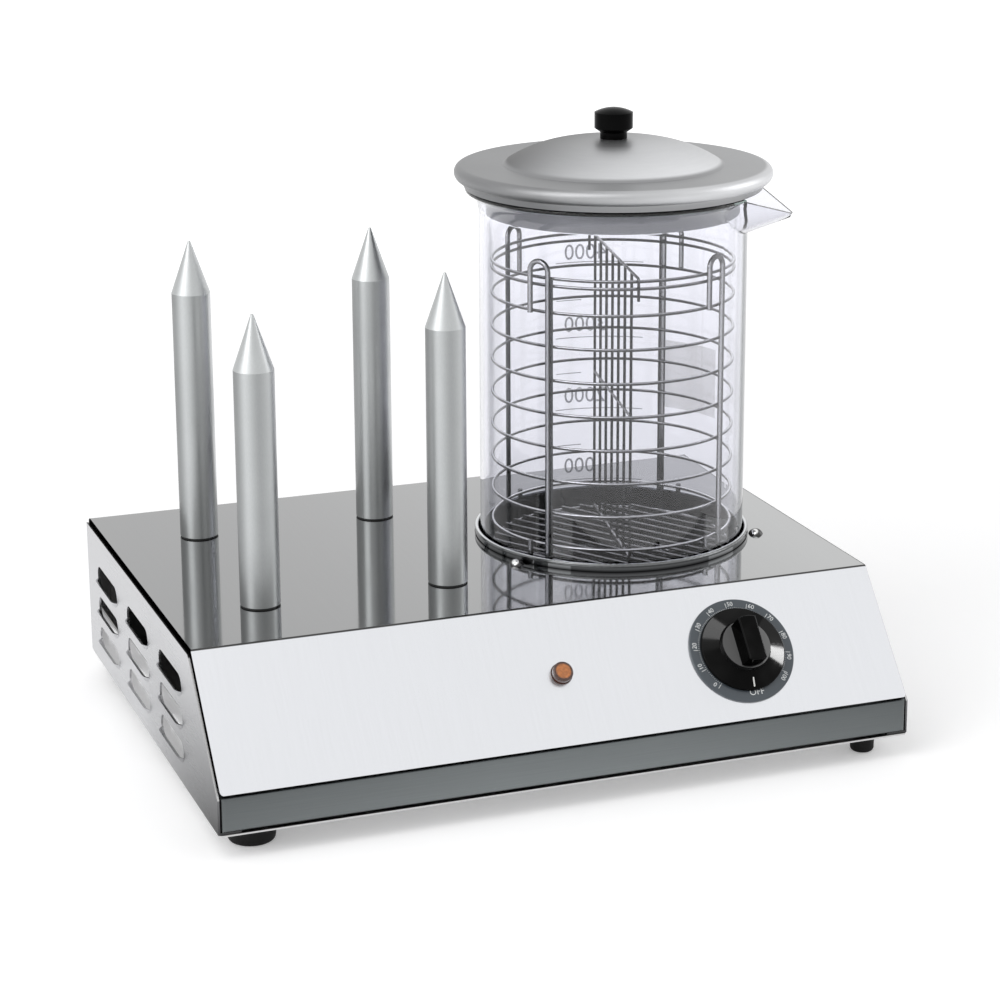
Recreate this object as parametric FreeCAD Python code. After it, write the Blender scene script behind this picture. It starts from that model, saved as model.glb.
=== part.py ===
import FreeCAD, Part
import math
import os

# Hot dog warmer: a low stainless casing with four heated bun spikes on the left
# and a heated well on the right that holds a lidded glass jar with a wire basket.
# Sizes are in millimetres. X runs left to right seen from the front, the front
# faces -Y, Z is up, and the feet stand on Z = 0 below the middle of the casing.

V = FreeCAD.Vector
FULL_TURN = 360.0

# Casing
body_width = 435.0
body_depth = 333.0
foot_height = 15.0
casing_height = 92.0
slant_start = 25.0
front_setback = 59.0
sheet = 1.2
plate_sheet = 1.0
bend_radius = 2.2
seam_gap = 0.4
band_gap = 0.8
cover_rise = 3.0
cover_edge = 10.0
corner_round = 2.2
band_seam = 1.8
band_return = 10.0
wall_stand_back = 1.5
flange_width = 13.5
fit_gap = 0.3
ledge_start = 12.0

# Inner tray walls behind the side panels
tray_height = 40.5
tray_gap = 3.0
tray_start = 36.0
tray_step = 8.0
tray_step_length = 82.0
rear_upright_height = 22.0
rear_upright_inset = 22.5

# Side louvres, pressed out below a lip
louvre_length = 56.0
louvre_height = 14.0
louvre_bulge = 3.2
louvre_lip_drop = 2.5
louvre_skin = 1.0
louvre_pitch_y = 84.3
louvre_pitch_z = 20.8
louvre_columns = 3
louvre_rows = 3
louvre_middle_y = 24.5
louvre_middle_z = 56.2

# Feet
wide_foot_radius = 15.5
wide_foot_waist = 13.6
slim_foot_radius = 7.8
slim_foot_waist = 7.3
wide_foot_inset_x = 26.0
wide_foot_inset_y = 27.5
slim_foot_inset_x = 20.0
slim_foot_inset_y = 21.5
foot_stud_radius = 2.5
foot_stud_depth = 6.0
foot_nut_height = 4.0
foot_nut_width = 8.0
foot_edge_round = 2.5

# Fasteners
screw_radius = 2.0
screw_head_radius = 3.6
screw_head_height = 2.2
side_screw_inset = 9.0
side_screw_spacing = 130.0
rear_screw_low = 30.0
rear_screw_high = 78.0
cover_screw_spacing = 140.0

# Heated well and its glass jar
well_x = 95.5
well_y = 17.5
well_radius = 87.5
well_wall = 0.8
well_lip_gap = 0.5
well_lip_bead = 1.4
well_lip_rise = 3.8
well_lip_overhang = 0.4
well_flange_radius = 104.0
well_flange_sheet = 1.0
well_depth = 43.0
well_floor = 1.0
well_corner = 5.0
well_screw_circle = 93.8
well_screw_angles = (-151.5, -26.1, 90.0)
dome_radius = 4.75
dome_height = 3.4
dome_nut_width = 7.0
dome_nut_height = 3.2

jar_radius = 85.0
jar_wall = 2.6
jar_height = 270.0
jar_floor = 3.5
jar_corner = 10.0
rim_flare = 14.5
rim_flare_angle = 62.0
spout_angle = -34.0
spout_reach = 113.5
spout_tip_drop = 13.0
spout_tip_radius = 3.0
spout_rise = 24.0
spout_spread = 46.0
spout_length = 34.5
spout_wall = 2.2
spout_groove = 0.4

# Heating parts under the well
spreader_radius = 70.0
spreader_height = 5.0
element_diameter = 6.5
element_radius = 46.0
element_leg = 56.0
pin_radius = 1.6
pin_length = 12.0
clamp_width = 22.0
clamp_sheet = 1.5
clamp_overhang = 8.0
stud_radius = 3.0
stud_length = 22.0
stud_nut_width = 10.0
stud_nut_height = 5.0
bulb_length = 56.0
bulb_offset = 14.0

# Wire basket
ring_radius = 76.7
ring_wire = 1.0
ring_count = 9
ring_low_rise = 50.28
ring_high_drop = 45.5
floor_ring_drop = 18.13
second_ring_drop = 4.6
weld = 0.15
post_wire = 1.65
post_angles = (217.9, 304.9, 42.0, 128.1)
post_foot_gap = 0.3
hook_turn = 9.5
hook_top_drop = 33.6
hook_end_drop = 67.8
foot_end_rise = 52.0
upright_wire = 0.75
floor_wires = 14
floor_wire_pitch = 10.6
floor_wire_angle = -58.0

# Divider, hooked over the top ring
divider_angle = 258.9
divider_wire = 0.9
divider_bars = 7
divider_bar_pitch = 19.5
divider_cross_rise = 4.3
divider_cross_count = 2
divider_foot_gap = 0.5
divider_hook_leg = 14.0

# Lid
lid_seat_gap = 0.3
lid_skin = 1.5
lid_plug_radius = 79.5
lid_plug_depth = 16.0
lid_plug_lip = 4.0
lid_radius = 100.2
lid_flange_height = 13.5
lid_edge_height = 9.5
lid_dome_radius = 70.0
lid_dome_height = 16.0
lid_dome_power = 3.0
lid_dome_points = 10
lid_seat_radius = 94.0
knob_neck_radius = 8.5
knob_neck_height = 4.0
knob_cap_radius = 12.1
knob_chamfer = 2.6
knob_side = 9.8
knob_dome = 3.0
lid_screw_radius = 2.5
lid_screw_head_radius = 5.0
lid_screw_head_height = 2.5
lid_screw_length = 12.0

# Bun spikes
spike_left_x = -157.0
spike_pitch_x = 118.8
spike_rear_y = 103.5
spike_pitch_y = 147.5
spike_radius = 12.2
spike_height = 193.5
short_spike_height = 178.0
spike_cone = 33.0
spike_tip_radius = 0.8
gasket_height = 1.0
gasket_inset = 0.5
spigot_radius = 7.0
spigot_length = 14.0
cartridge_radius = 4.0
cartridge_clearance = 0.05
cartridge_length = 120.0
cartridge_tail = 4.0
spike_nut_width = 22.0
spike_nut_height = 6.0
hole_clearance = 0.3

# Controls on the slanted panel
dial_x = 117.0
dial_down = 45.4
dial_radius = 33.6
dial_thickness = 1.6
dial_bore = 20.0
knob_gap = 0.5
skirt_radius = 26.8
skirt_edge = 1.8
skirt_height = 5.6
hub_radius = 16.4
hub_height = 8.5
hub_step = 1.2
grip_width = 11.0
grip_root_width = 15.0
grip_length = 29.0
grip_height = 14.5
knob_hollow_radius = 19.0
knob_hollow_depth = 3.4
shaft_radius = 3.0
shaft_clearance = 0.05
shaft_reach = 14.0
shaft_inside = 12.0
thermostat_size = 36.0
thermostat_depth = 32.0
thermostat_screw_pitch = 28.0
lug_width = 5.0
lug_length = 9.0
lug_thickness = 0.8
lug_pitch = 12.0

lamp_x = 0.0
lamp_down = 44.7
lens_radius = 6.3
lens_height = 5.2
lens_dome = 1.0
lens_flange_radius = 6.8
lens_flange_height = 1.0
lamp_radius = 5.6
lamp_length = 26.0
lamp_nut_width = 15.0
lamp_nut_height = 3.0

# Supply side
gland_x = 150.0
gland_height = 54.0
gland_head_radius = 10.0
gland_head_height = 5.0
gland_body_radius = 6.8
gland_body_length = 13.0
gland_bore_radius = 4.0
gland_nut_width = 19.0
gland_nut_height = 4.0
block_pitch = 12.0
block_width = 18.0
block_height = 16.0
block_ways = 6
block_screw_radius = 2.2
block_screw_height = 5.0
earth_x = 80.0
earth_inset = 26.5
earth_height = 16.0

# Leads and the capillary
lead_radius = 1.4
capillary_radius = 0.9
lead_bend = 9.0
lead_drop = 16.0
lead_lane = -95.0
lead_lane_pitch = 4.0
capillary_swing = 24.0
capillary_step = 6.5
capillary_drop = 12.0

# Levels and lines that follow from the sizes above
z_under = foot_height
z_flange = z_under + plate_sheet
z_ring = z_flange + sheet
z_top = foot_height + casing_height
z_slant = z_under + slant_start
z_band_top = z_slant - band_seam
y_front = -body_depth / 2
y_back = body_depth / 2
y_bend = y_front + front_setback
earth_y = y_back - earth_inset
half_width = body_width / 2
wall_inner = half_width - sheet
cover_half = wall_inner - seam_gap
band_half = wall_inner - band_gap
rear_upright_half = half_width - rear_upright_inset
tilt = math.atan2(z_top - z_slant, front_setback)
sin_tilt = math.sin(tilt)
cos_tilt = math.cos(tilt)
y_wall_front = y_front + wall_stand_back
y_panel_outer = y_back - sheet
y_panel_inner = y_panel_outer - sheet
y_flange_inner = y_panel_inner - sheet
z_skin = z_top - sheet
well_floor_top = z_top - well_depth
jar_top = well_floor_top + jar_height
jar_inside = well_floor_top + jar_floor
ring_low = jar_inside + ring_low_rise
ring_high = jar_top - ring_high_drop
ring_pitch = (ring_high - ring_low) / (ring_count - 1)
hook_top = jar_top - hook_top_drop
hook_end = jar_top - hook_end_drop
foot_turn_end = jar_inside + foot_end_rise
floor_ring = ring_low - floor_ring_drop
z_floor_wires = floor_ring + 2 * ring_wire - weld
post_radius = ring_radius + ring_wire + post_wire - weld
spreader_top = well_floor_top - well_floor
spreader_under = spreader_top - spreader_height
element_axis = spreader_under - element_diameter / 2
element_under = spreader_under - element_diameter
lid_base = jar_top + lid_seat_gap
lid_top = lid_base + lid_flange_height
dome_top = lid_top + lid_dome_height
well_centre = V(well_x, well_y, 0)
block_x = spike_left_x + spike_pitch_x / 2
block_y = spike_rear_y - spike_pitch_y / 2
inwards = V(0, sin_tilt, -cos_tilt)


def slant_y(z, offset):
    # A line parallel to the slanted panel, moved inwards by the offset
    return y_bend + (cos_tilt * (z - z_top) + offset) / sin_tilt


def bend_y(offset):
    # Where the moved slant line meets the moved top line
    return y_bend + offset * math.tan(tilt / 2)


def on_panel(x, down, height=0.0):
    # A point on the slanted panel, measured down the slope from the bend
    y = y_bend - down * cos_tilt - height * sin_tilt
    z = z_top - down * sin_tilt + height * cos_tilt
    return V(x, y, z)


def panel_place(x, down, height=0.0):
    # Local X runs right, local Y up the slope and local Z out of the panel
    turn = FreeCAD.Rotation(V(1, 0, 0), math.degrees(tilt))
    return FreeCAD.Placement(on_panel(x, down, height), turn)


def around_well(radius, angle, z):
    turn = math.radians(angle)
    return V(well_x + radius * math.cos(turn), well_y + radius * math.sin(turn), z)


def box(low, high):
    size = high - low
    return Part.makeBox(size.x, size.y, size.z, low)


def mirrored_x(shape):
    return shape.mirror(V(0, 0, 0), V(1, 0, 0))


def prism_x(points, x_low, x_high):
    corners = [V(x_low, y, z) for y, z in points]
    face = Part.Face(Part.makePolygon(corners + corners[:1]))
    return face.extrude(V(x_high - x_low, 0, 0))


def cylinder(radius, height, base, axis=V(0, 0, 1)):
    return Part.makeCylinder(radius, height, base, axis)


def hexagon(width, height, base, axis=V(0, 0, 1)):
    sides = 6
    corner = width / 2 / math.cos(math.pi / sides)
    points = []
    for i in range(sides + 1):
        turn = FULL_TURN / sides * i
        points.append(V(corner * math.cos(math.radians(turn)), corner * math.sin(math.radians(turn)), 0))
    shape = Part.Face(Part.makePolygon(points)).extrude(V(0, 0, height))
    shape.Placement = FreeCAD.Placement(base, FreeCAD.Rotation(V(0, 0, 1), axis))
    return shape


def nut(width, height, bore, base, axis=V(0, 0, 1)):
    blank = hexagon(width, height, base, axis)
    return blank.cut(cylinder(bore, height + 2 * sheet, base - axis * sheet, axis))


def pan_screw(base, axis, shank):
    # The base is the seat of the head; the axis points from the head into the work
    head = cylinder(screw_head_radius, screw_head_height, base - axis * screw_head_height, axis)
    soft = [edge for edge in head.Edges if abs((edge.CenterOfMass - base) * axis + screw_head_height) < 0.01]
    head = head.makeFillet(screw_head_height / 2, soft)
    return head.fuse(cylinder(screw_radius, shank, base, axis)).removeSplitter()


def rounded_path(points, radius):
    # Straight runs joined by tangent arcs, which take less than half of a short run
    share = 0.45
    edges = []
    start = points[0]
    for i in range(1, len(points) - 1):
        before = points[i - 1] - points[i]
        after = points[i + 1] - points[i]
        run = min(before.Length, after.Length)
        before.normalize()
        after.normalize()
        half_angle = math.acos(max(-1.0, min(1.0, before * after))) / 2
        reach = min(radius / math.tan(half_angle), run * share)
        bend = reach * math.tan(half_angle)
        first = points[i] + before * reach
        last = points[i] + after * reach
        inwards = (before + after).normalize()
        centre = points[i] + inwards * (bend / math.sin(half_angle))
        middle = centre - inwards * bend
        edges.append(Part.LineSegment(start, first).toShape())
        edges.append(Part.Arc(first, middle, last).toShape())
        start = last
    edges.append(Part.LineSegment(start, points[-1]).toShape())
    return Part.Wire(edges)


def tube(path, radius):
    first = path.Edges[0]
    direction = first.tangentAt(first.FirstParameter)
    start = first.valueAt(first.FirstParameter)
    circle = Part.Wire(Part.makeCircle(radius, start, direction))
    shell = Part.BRepOffsetAPI.MakePipeShell(path)
    shell.add(circle)
    shell.build()
    shell.makeSolid()
    return shell.shape()


def fuse_all(shapes):
    return shapes[0].fuse(shapes[1:]).removeSplitter()


def cut_all(shape, tools):
    for tool in tools:
        shape = shape.cut(tool)
    return shape


def revolve(edges):
    face = Part.Face(Part.Wire(edges))
    return face.revolve(well_centre, V(0, 0, 1), FULL_TURN)


def at_radius(radius, z):
    return V(well_x + radius, well_y, z)


def line(first, last):
    return Part.LineSegment(first, last).toShape()


def arc(first, middle, last):
    return Part.Arc(first, middle, last).toShape()


# Casing


def louvre_places():
    places = []
    for column in range(louvre_columns):
        for row in range(louvre_rows):
            y = louvre_middle_y + (column - (louvre_columns - 1) / 2) * louvre_pitch_y
            z = louvre_middle_z + (row - (louvre_rows - 1) / 2) * louvre_pitch_z
            places.append((y, z))
    return places


def capsule(x, y, z, radius):
    # A rod with round ends, lying along Y
    reach = louvre_length / 2 - louvre_height / 2
    rod = cylinder(radius, 2 * reach, V(x, y - reach, z), V(0, 1, 0))
    ends = [Part.makeSphere(radius, V(x, y + side * reach, z)) for side in (-1, 1)]
    return fuse_all([rod] + ends)


def louvre(y, z):
    # The lower lip of each slot is pressed out as a shallow scoop
    half = louvre_height / 2
    radius = (half ** 2 + louvre_bulge ** 2) / (2 * louvre_bulge)
    x = -half_width + radius - louvre_bulge
    outer = capsule(x, y, z, radius)
    inner = capsule(x, y, z, radius - louvre_skin)
    reach = louvre_length
    lip = z - louvre_lip_drop
    below = box(V(-half_width - reach, y - reach, z - reach), V(-wall_inner, y + reach, lip))
    scoop = outer.cut(inner).common(below)
    ends = louvre_length / 2 - half
    start = -half_width - sheet
    width = 3 * sheet
    slot = box(V(start, y - ends, z - half), V(start + width, y + ends, z + half))
    rounds = [cylinder(half, width, V(start, y + side * ends, z), V(1, 0, 0)) for side in (-1, 1)]
    above = box(V(start, y - reach, lip), V(start + width, y + reach, z + reach))
    opening = fuse_all([slot] + rounds).common(above)
    return scoop, opening, inner.common(below)


def side_panel():
    z_corner = z_top + (sin_tilt * (y_wall_front - y_bend) - cover_rise) / cos_tilt
    outline = [
        (y_wall_front, z_flange),
        (y_wall_front, z_corner),
        (bend_y(cover_rise), z_top - cover_rise),
        (y_back, z_top - cover_rise),
        (y_back, z_flange),
    ]
    wall = prism_x(outline, -half_width, -wall_inner)
    scoops = []
    for y, z in louvre_places():
        scoop, opening, hollow = louvre(y, z)
        wall = wall.cut(opening).cut(hollow)
        scoops.append(scoop)
    flange_end = flange_width - half_width
    bottom = box(V(-half_width, y_wall_front, z_flange), V(flange_end, y_flange_inner, z_ring))
    z_rear = z_top - cover_edge - sheet
    rear = box(V(-half_width, y_flange_inner, z_flange), V(flange_end, y_panel_inner, z_rear))
    z_ledge = z_slant + ledge_start
    ledge_line = [
        (slant_y(z_ledge, cover_edge), z_ledge),
        (bend_y(cover_edge), z_top - cover_edge),
        (y_panel_inner, z_top - cover_edge),
        (y_panel_inner, z_rear),
        (bend_y(cover_edge + sheet), z_rear),
        (slant_y(z_ledge, cover_edge + sheet), z_ledge),
    ]
    ledge = prism_x(ledge_line, -half_width, flange_end)
    panel = fuse_all([wall, bottom, rear, ledge] + scoops)
    for y in side_screw_rows():
        x = side_screw_inset - half_width
        panel = panel.cut(cylinder(screw_radius + hole_clearance, sheet * 3, V(x, y, z_flange - sheet)))
    for z in (rear_screw_low, rear_screw_high):
        x = side_screw_inset - half_width
        panel = panel.cut(cylinder(screw_radius + hole_clearance, sheet * 3, V(x, y_flange_inner - sheet, z), V(0, 1, 0)))
    return panel


def side_screw_rows():
    return (-side_screw_spacing, 0.0, side_screw_spacing)


def spike_places():
    places = []
    for x in (spike_left_x, spike_left_x + spike_pitch_x):
        for y in (spike_rear_y, spike_rear_y - spike_pitch_y):
            places.append(V(x, y, z_top))
    return places


def panel_hole(x, down, radius):
    hole = Part.makeCylinder(radius, 4 * sheet, V(0, 0, -3 * sheet))
    hole.Placement = panel_place(x, down)
    return hole


def cover():
    outline = [
        (slant_y(z_slant, 0), z_slant),
        (y_bend, z_top),
        (y_back, z_top),
        (y_back, z_top - cover_edge),
        (bend_y(cover_edge), z_top - cover_edge),
        (slant_y(z_slant, cover_edge), z_slant),
    ]
    outer = prism_x(outline, -cover_half, cover_half)
    z_in = z_slant + sheet
    z_open = z_top - cover_edge - sheet
    hollow_line = [
        (slant_y(z_in, sheet), z_in),
        (bend_y(sheet), z_skin),
        (y_panel_outer, z_skin),
        (y_panel_outer, z_open),
        (bend_y(cover_edge + sheet), z_open),
        (slant_y(z_in, cover_edge + sheet), z_in),
    ]
    hollow = prism_x(hollow_line, sheet - cover_half, cover_half - sheet)
    bends = [edge for edge in outer.Edges if is_along_x(edge, y_bend, z_top)]
    bends += [edge for edge in outer.Edges if is_along_x(edge, y_back, z_top)]
    outer = outer.makeFillet(bend_radius, bends)
    outer = outer.makeFillet(corner_round, low_corners(outer, cover_half, z_slant))
    inner_bends = [edge for edge in hollow.Edges if is_along_x(edge, bend_y(sheet), z_skin)]
    hollow = hollow.makeFillet(bend_radius - sheet, inner_bends)
    hollow = hollow.makeFillet(corner_round - sheet, low_corners(hollow, cover_half - sheet, z_in))
    shell = outer.cut(hollow)
    well_hole = well_radius + well_wall + well_lip_gap
    tools = [cylinder(well_hole, 2 * cover_edge, V(well_x, well_y, z_top - cover_edge))]
    for angle in well_screw_angles:
        place = around_well(well_screw_circle, angle, z_skin - sheet)
        tools.append(cylinder(screw_radius + hole_clearance, 3 * sheet, place))
    for place in spike_places():
        tools.append(cylinder(spigot_radius + hole_clearance, 3 * sheet, place - V(0, 0, 2 * sheet)))
    for x in cover_screw_rows():
        tools.append(cylinder(screw_radius + hole_clearance, 3 * sheet, V(x, y_back - 2 * sheet, cover_screw_z()), V(0, 1, 0)))
    tools.append(panel_hole(dial_x, dial_down, shaft_radius + hole_clearance + sheet))
    for side in (-1, 1):
        tools.append(panel_hole(dial_x + side * thermostat_screw_pitch / 2, dial_down, screw_radius + hole_clearance))
    tools.append(panel_hole(lamp_x, lamp_down, lamp_radius + hole_clearance))
    return cut_all(shell, tools)


def is_along_x(edge, y, z):
    centre = edge.CenterOfMass
    return abs(centre.y - y) < 0.01 and abs(centre.z - z) < 0.01 and abs(edge.BoundBox.XLength) > 1


def low_corners(shape, x, z):
    found = []
    for edge in shape.Edges:
        centre = edge.CenterOfMass
        if abs(abs(centre.x) - x) < 0.01 and abs(centre.z - z) < 0.01:
            found.append(edge)
    return found


def cover_screw_rows():
    return (-cover_screw_spacing, 0.0, cover_screw_spacing)


def cover_screw_z():
    return z_top - cover_edge / 2 - sheet / 2


def base_frame():
    band = box(V(-band_half, y_front, z_ring), V(band_half, y_front + band_return, z_band_top))
    front_edges = []
    for edge in band.Edges:
        if abs(edge.CenterOfMass.y - y_front) < 0.01:
            front_edges.append(edge)
    band = band.makeFillet(bend_radius, front_edges)
    inner = box(
        V(sheet - band_half, y_front + sheet, z_ring + sheet),
        V(band_half - sheet, y_front + 2 * band_return, z_band_top - sheet),
    )
    band = band.cut(inner)
    ring_half = wall_inner - fit_gap
    ring_back = y_flange_inner - fit_gap
    ring = box(V(-ring_half, y_front + band_return / 2, z_ring), V(ring_half, ring_back, z_ring + sheet))
    window_half = half_width - flange_width
    window_front = y_front + flange_width
    window_back = y_back - flange_width
    ring = ring.cut(box(V(-window_half, window_front, z_ring - sheet), V(window_half, window_back, z_band_top)))
    side_low = V(-wall_inner + tray_gap, y_front + tray_start, z_ring)
    wall = box(side_low, V(side_low.x + sheet, ring_back, z_under + tray_height))
    step_y = y_back - tray_step_length
    wall = wall.cut(box(V(side_low.x - sheet, step_y, z_under + tray_height - tray_step), V(0, y_back, z_top)))
    upright_low = V(-rear_upright_half, y_flange_inner, z_ring)
    upright_high = V(rear_upright_half, y_panel_inner, z_ring + rear_upright_height)
    upright = box(upright_low, upright_high)
    foot = box(V(-rear_upright_half, ring_back - sheet, z_ring), V(rear_upright_half, y_panel_inner, z_ring + sheet))
    frame = fuse_all([band, ring, wall, mirrored_x(wall), upright, foot])
    tools = []
    for side in (-1, 1):
        for y in side_screw_rows():
            x = side * (half_width - side_screw_inset)
            tools.append(cylinder(screw_radius, sheet * 3, V(x, y, z_ring - sheet)))
    return cut_all(frame, tools)


def foot_places():
    wide_x = wide_foot_inset_x - half_width
    wide_y = y_back - wide_foot_inset_y
    slim_x = half_width - slim_foot_inset_x
    slim_y = y_back - slim_foot_inset_y
    wide = [V(wide_x, -wide_y, 0), V(wide_x, wide_y, 0)]
    slim = [V(slim_x, -slim_y, 0), V(slim_x, slim_y, 0)]
    return wide, slim


def bottom_plate():
    margin = fit_gap
    low = V(-half_width + margin, y_front + margin, z_under)
    high = V(half_width - margin, y_back - margin, z_flange)
    plate = box(low, high)
    upright_edges = [edge for edge in plate.Edges if edge.BoundBox.ZLength > plate_sheet / 2]
    plate = plate.makeFillet(bend_radius, upright_edges)
    tools = []
    wide, slim = foot_places()
    for place in wide + slim:
        tools.append(cylinder(foot_stud_radius + hole_clearance, 3 * sheet, V(place.x, place.y, z_under - sheet)))
    for side in (-1, 1):
        for y in side_screw_rows():
            x = side * (half_width - side_screw_inset)
            tools.append(cylinder(screw_radius + hole_clearance, sheet * 3, V(x, y, z_under - sheet)))
    return cut_all(plate, tools)


def rear_panel():
    half = cover_half - sheet - fit_gap
    panel = box(V(-half, y_panel_inner, z_ring), V(half, y_panel_outer, z_skin - fit_gap))
    tools = [cylinder(gland_body_radius + hole_clearance, 3 * sheet, V(gland_x, y_panel_inner - sheet, gland_height), V(0, 1, 0))]
    for side in (-1, 1):
        for z in (rear_screw_low, rear_screw_high):
            place = V(side * (half_width - side_screw_inset), y_panel_inner - sheet, z)
            tools.append(cylinder(screw_radius + hole_clearance, 3 * sheet, place, V(0, 1, 0)))
    for x in cover_screw_rows():
        place = V(x, y_panel_inner - sheet, cover_screw_z())
        tools.append(cylinder(screw_radius, 3 * sheet, place, V(0, 1, 0)))
    return cut_all(panel, tools)


def foot(place, radius, waist):
    stem = Part.makeCone(waist, radius, foot_height, place)
    bottom = [edge for edge in stem.Edges if abs(edge.CenterOfMass.z) < 0.01]
    stem = stem.makeFillet(foot_edge_round, bottom)
    return stem.cut(cylinder(foot_stud_radius, foot_stud_depth, place + V(0, 0, foot_height - foot_stud_depth)))


def foot_studs(places):
    length = foot_stud_depth + plate_sheet + foot_nut_height + sheet
    studs = [cylinder(foot_stud_radius, length, place + V(0, 0, foot_height - foot_stud_depth)) for place in places]
    return Part.makeCompound(studs)


def foot_nuts(places):
    nuts = []
    for place in places:
        nuts.append(nut(foot_nut_width, foot_nut_height, foot_stud_radius + shaft_clearance, V(place.x, place.y, z_flange)))
    return Part.makeCompound(nuts)


def base_screws():
    screws = []
    for side in (-1, 1):
        for y in side_screw_rows():
            place = V(side * (half_width - side_screw_inset), y, z_under)
            screws.append(pan_screw(place, V(0, 0, 1), z_ring + 2 * sheet - z_under))
    return Part.makeCompound(screws)


def rear_screws():
    screws = []
    for side in (-1, 1):
        for z in (rear_screw_low, rear_screw_high):
            place = V(side * (half_width - side_screw_inset), y_panel_outer, z)
            screws.append(pan_screw(place, V(0, -1, 0), 4 * sheet))
    for x in cover_screw_rows():
        screws.append(pan_screw(V(x, y_back, cover_screw_z()), V(0, -1, 0), 4 * sheet))
    return Part.makeCompound(screws)


# Heated well


def heating_bowl():
    inner = cylinder(well_radius, 2 * well_depth, V(well_x, well_y, well_floor_top))
    low_edge = [edge for edge in inner.Edges if abs(edge.CenterOfMass.z - well_floor_top) < 0.01]
    inner = inner.makeFillet(well_corner, low_edge)
    z_low = well_floor_top - well_floor
    z_bead = z_top + well_lip_rise
    outer = cylinder(well_radius + well_wall, z_bead - z_low, V(well_x, well_y, z_low))
    outer_edge = [edge for edge in outer.Edges if abs(edge.CenterOfMass.z - z_low) < 0.01]
    outer = outer.makeFillet(well_corner + well_wall, outer_edge)
    flange = cylinder(well_flange_radius, well_flange_sheet, V(well_x, well_y, z_skin - well_flange_sheet))
    bead_radius = well_radius + well_wall + well_lip_overhang - well_lip_bead
    bead = Part.makeTorus(bead_radius, well_lip_bead, V(well_x, well_y, z_bead))
    bowl = outer.fuse(flange).cut(inner).fuse(bead)
    for angle in well_screw_angles:
        place = around_well(well_screw_circle, angle, z_skin - 3 * sheet)
        bowl = bowl.cut(cylinder(screw_radius + hole_clearance, 4 * sheet, place))
    return bowl.removeSplitter()


def dome_screw(angle):
    place = around_well(well_screw_circle, angle, z_top)
    sphere_radius = (dome_radius ** 2 + dome_height ** 2) / (2 * dome_height)
    ball = Part.makeSphere(sphere_radius, place + V(0, 0, dome_height - sphere_radius))
    head = ball.common(cylinder(dome_radius, 2 * dome_height, place))
    shank = cylinder(screw_radius, 2 * sheet + well_flange_sheet + dome_nut_height, V(0, 0, 0))
    shank.translate(V(place.x, place.y, z_skin - well_flange_sheet - dome_nut_height - sheet))
    return head.fuse(shank).removeSplitter()


def well_screws():
    return Part.makeCompound([dome_screw(angle) for angle in well_screw_angles])


def well_nuts():
    nuts = []
    for angle in well_screw_angles:
        place = around_well(well_screw_circle, angle, z_skin - well_flange_sheet - dome_nut_height)
        nuts.append(nut(dome_nut_width, dome_nut_height, screw_radius + shaft_clearance, place))
    return Part.makeCompound(nuts)


def heat_spreader():
    disc = cylinder(spreader_radius, spreader_height, V(well_x, well_y, spreader_under))
    return disc.cut(cylinder(stud_radius + hole_clearance, 3 * spreader_height, V(well_x, well_y, element_under)))


def element_path():
    left = well_x - element_leg
    start = V(left, well_y - element_radius, element_axis)
    first = V(well_x, well_y - element_radius, element_axis)
    middle = V(well_x + element_radius, well_y, element_axis)
    last = V(well_x, well_y + element_radius, element_axis)
    end = V(left, well_y + element_radius, element_axis)
    return Part.Wire([line(start, first), arc(first, middle, last), line(last, end)])


def heating_element():
    return tube(element_path(), element_diameter / 2)


def element_pins():
    pins = []
    for side in (-1, 1):
        place = V(well_x - element_leg, well_y + side * element_radius, element_axis)
        pins.append(cylinder(pin_radius, pin_length, place, V(-1, 0, 0)))
    return Part.makeCompound(pins)


def element_clamp():
    reach = element_radius + clamp_overhang
    low = V(well_x - clamp_width / 2, well_y - reach, element_under - clamp_sheet)
    high = V(well_x + clamp_width / 2, well_y + reach, element_under)
    return box(low, high).cut(cylinder(stud_radius + hole_clearance, 4 * sheet, V(well_x, well_y, low.z - sheet)))


def well_stud():
    return cylinder(stud_radius, stud_length, V(well_x, well_y, spreader_top - stud_length))


def well_stud_nut():
    place = V(well_x, well_y, element_under - clamp_sheet - stud_nut_height)
    return nut(stud_nut_width, stud_nut_height, stud_radius + shaft_clearance, place)


def thermostat_bulb():
    place = V(well_x - bulb_length / 2, well_y - bulb_offset, element_axis)
    bulb = cylinder(element_diameter / 2, bulb_length, place, V(1, 0, 0))
    return bulb.makeFillet(element_diameter / 4, bulb.Edges[:1] + bulb.Edges[2:])


# Glass jar


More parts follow.
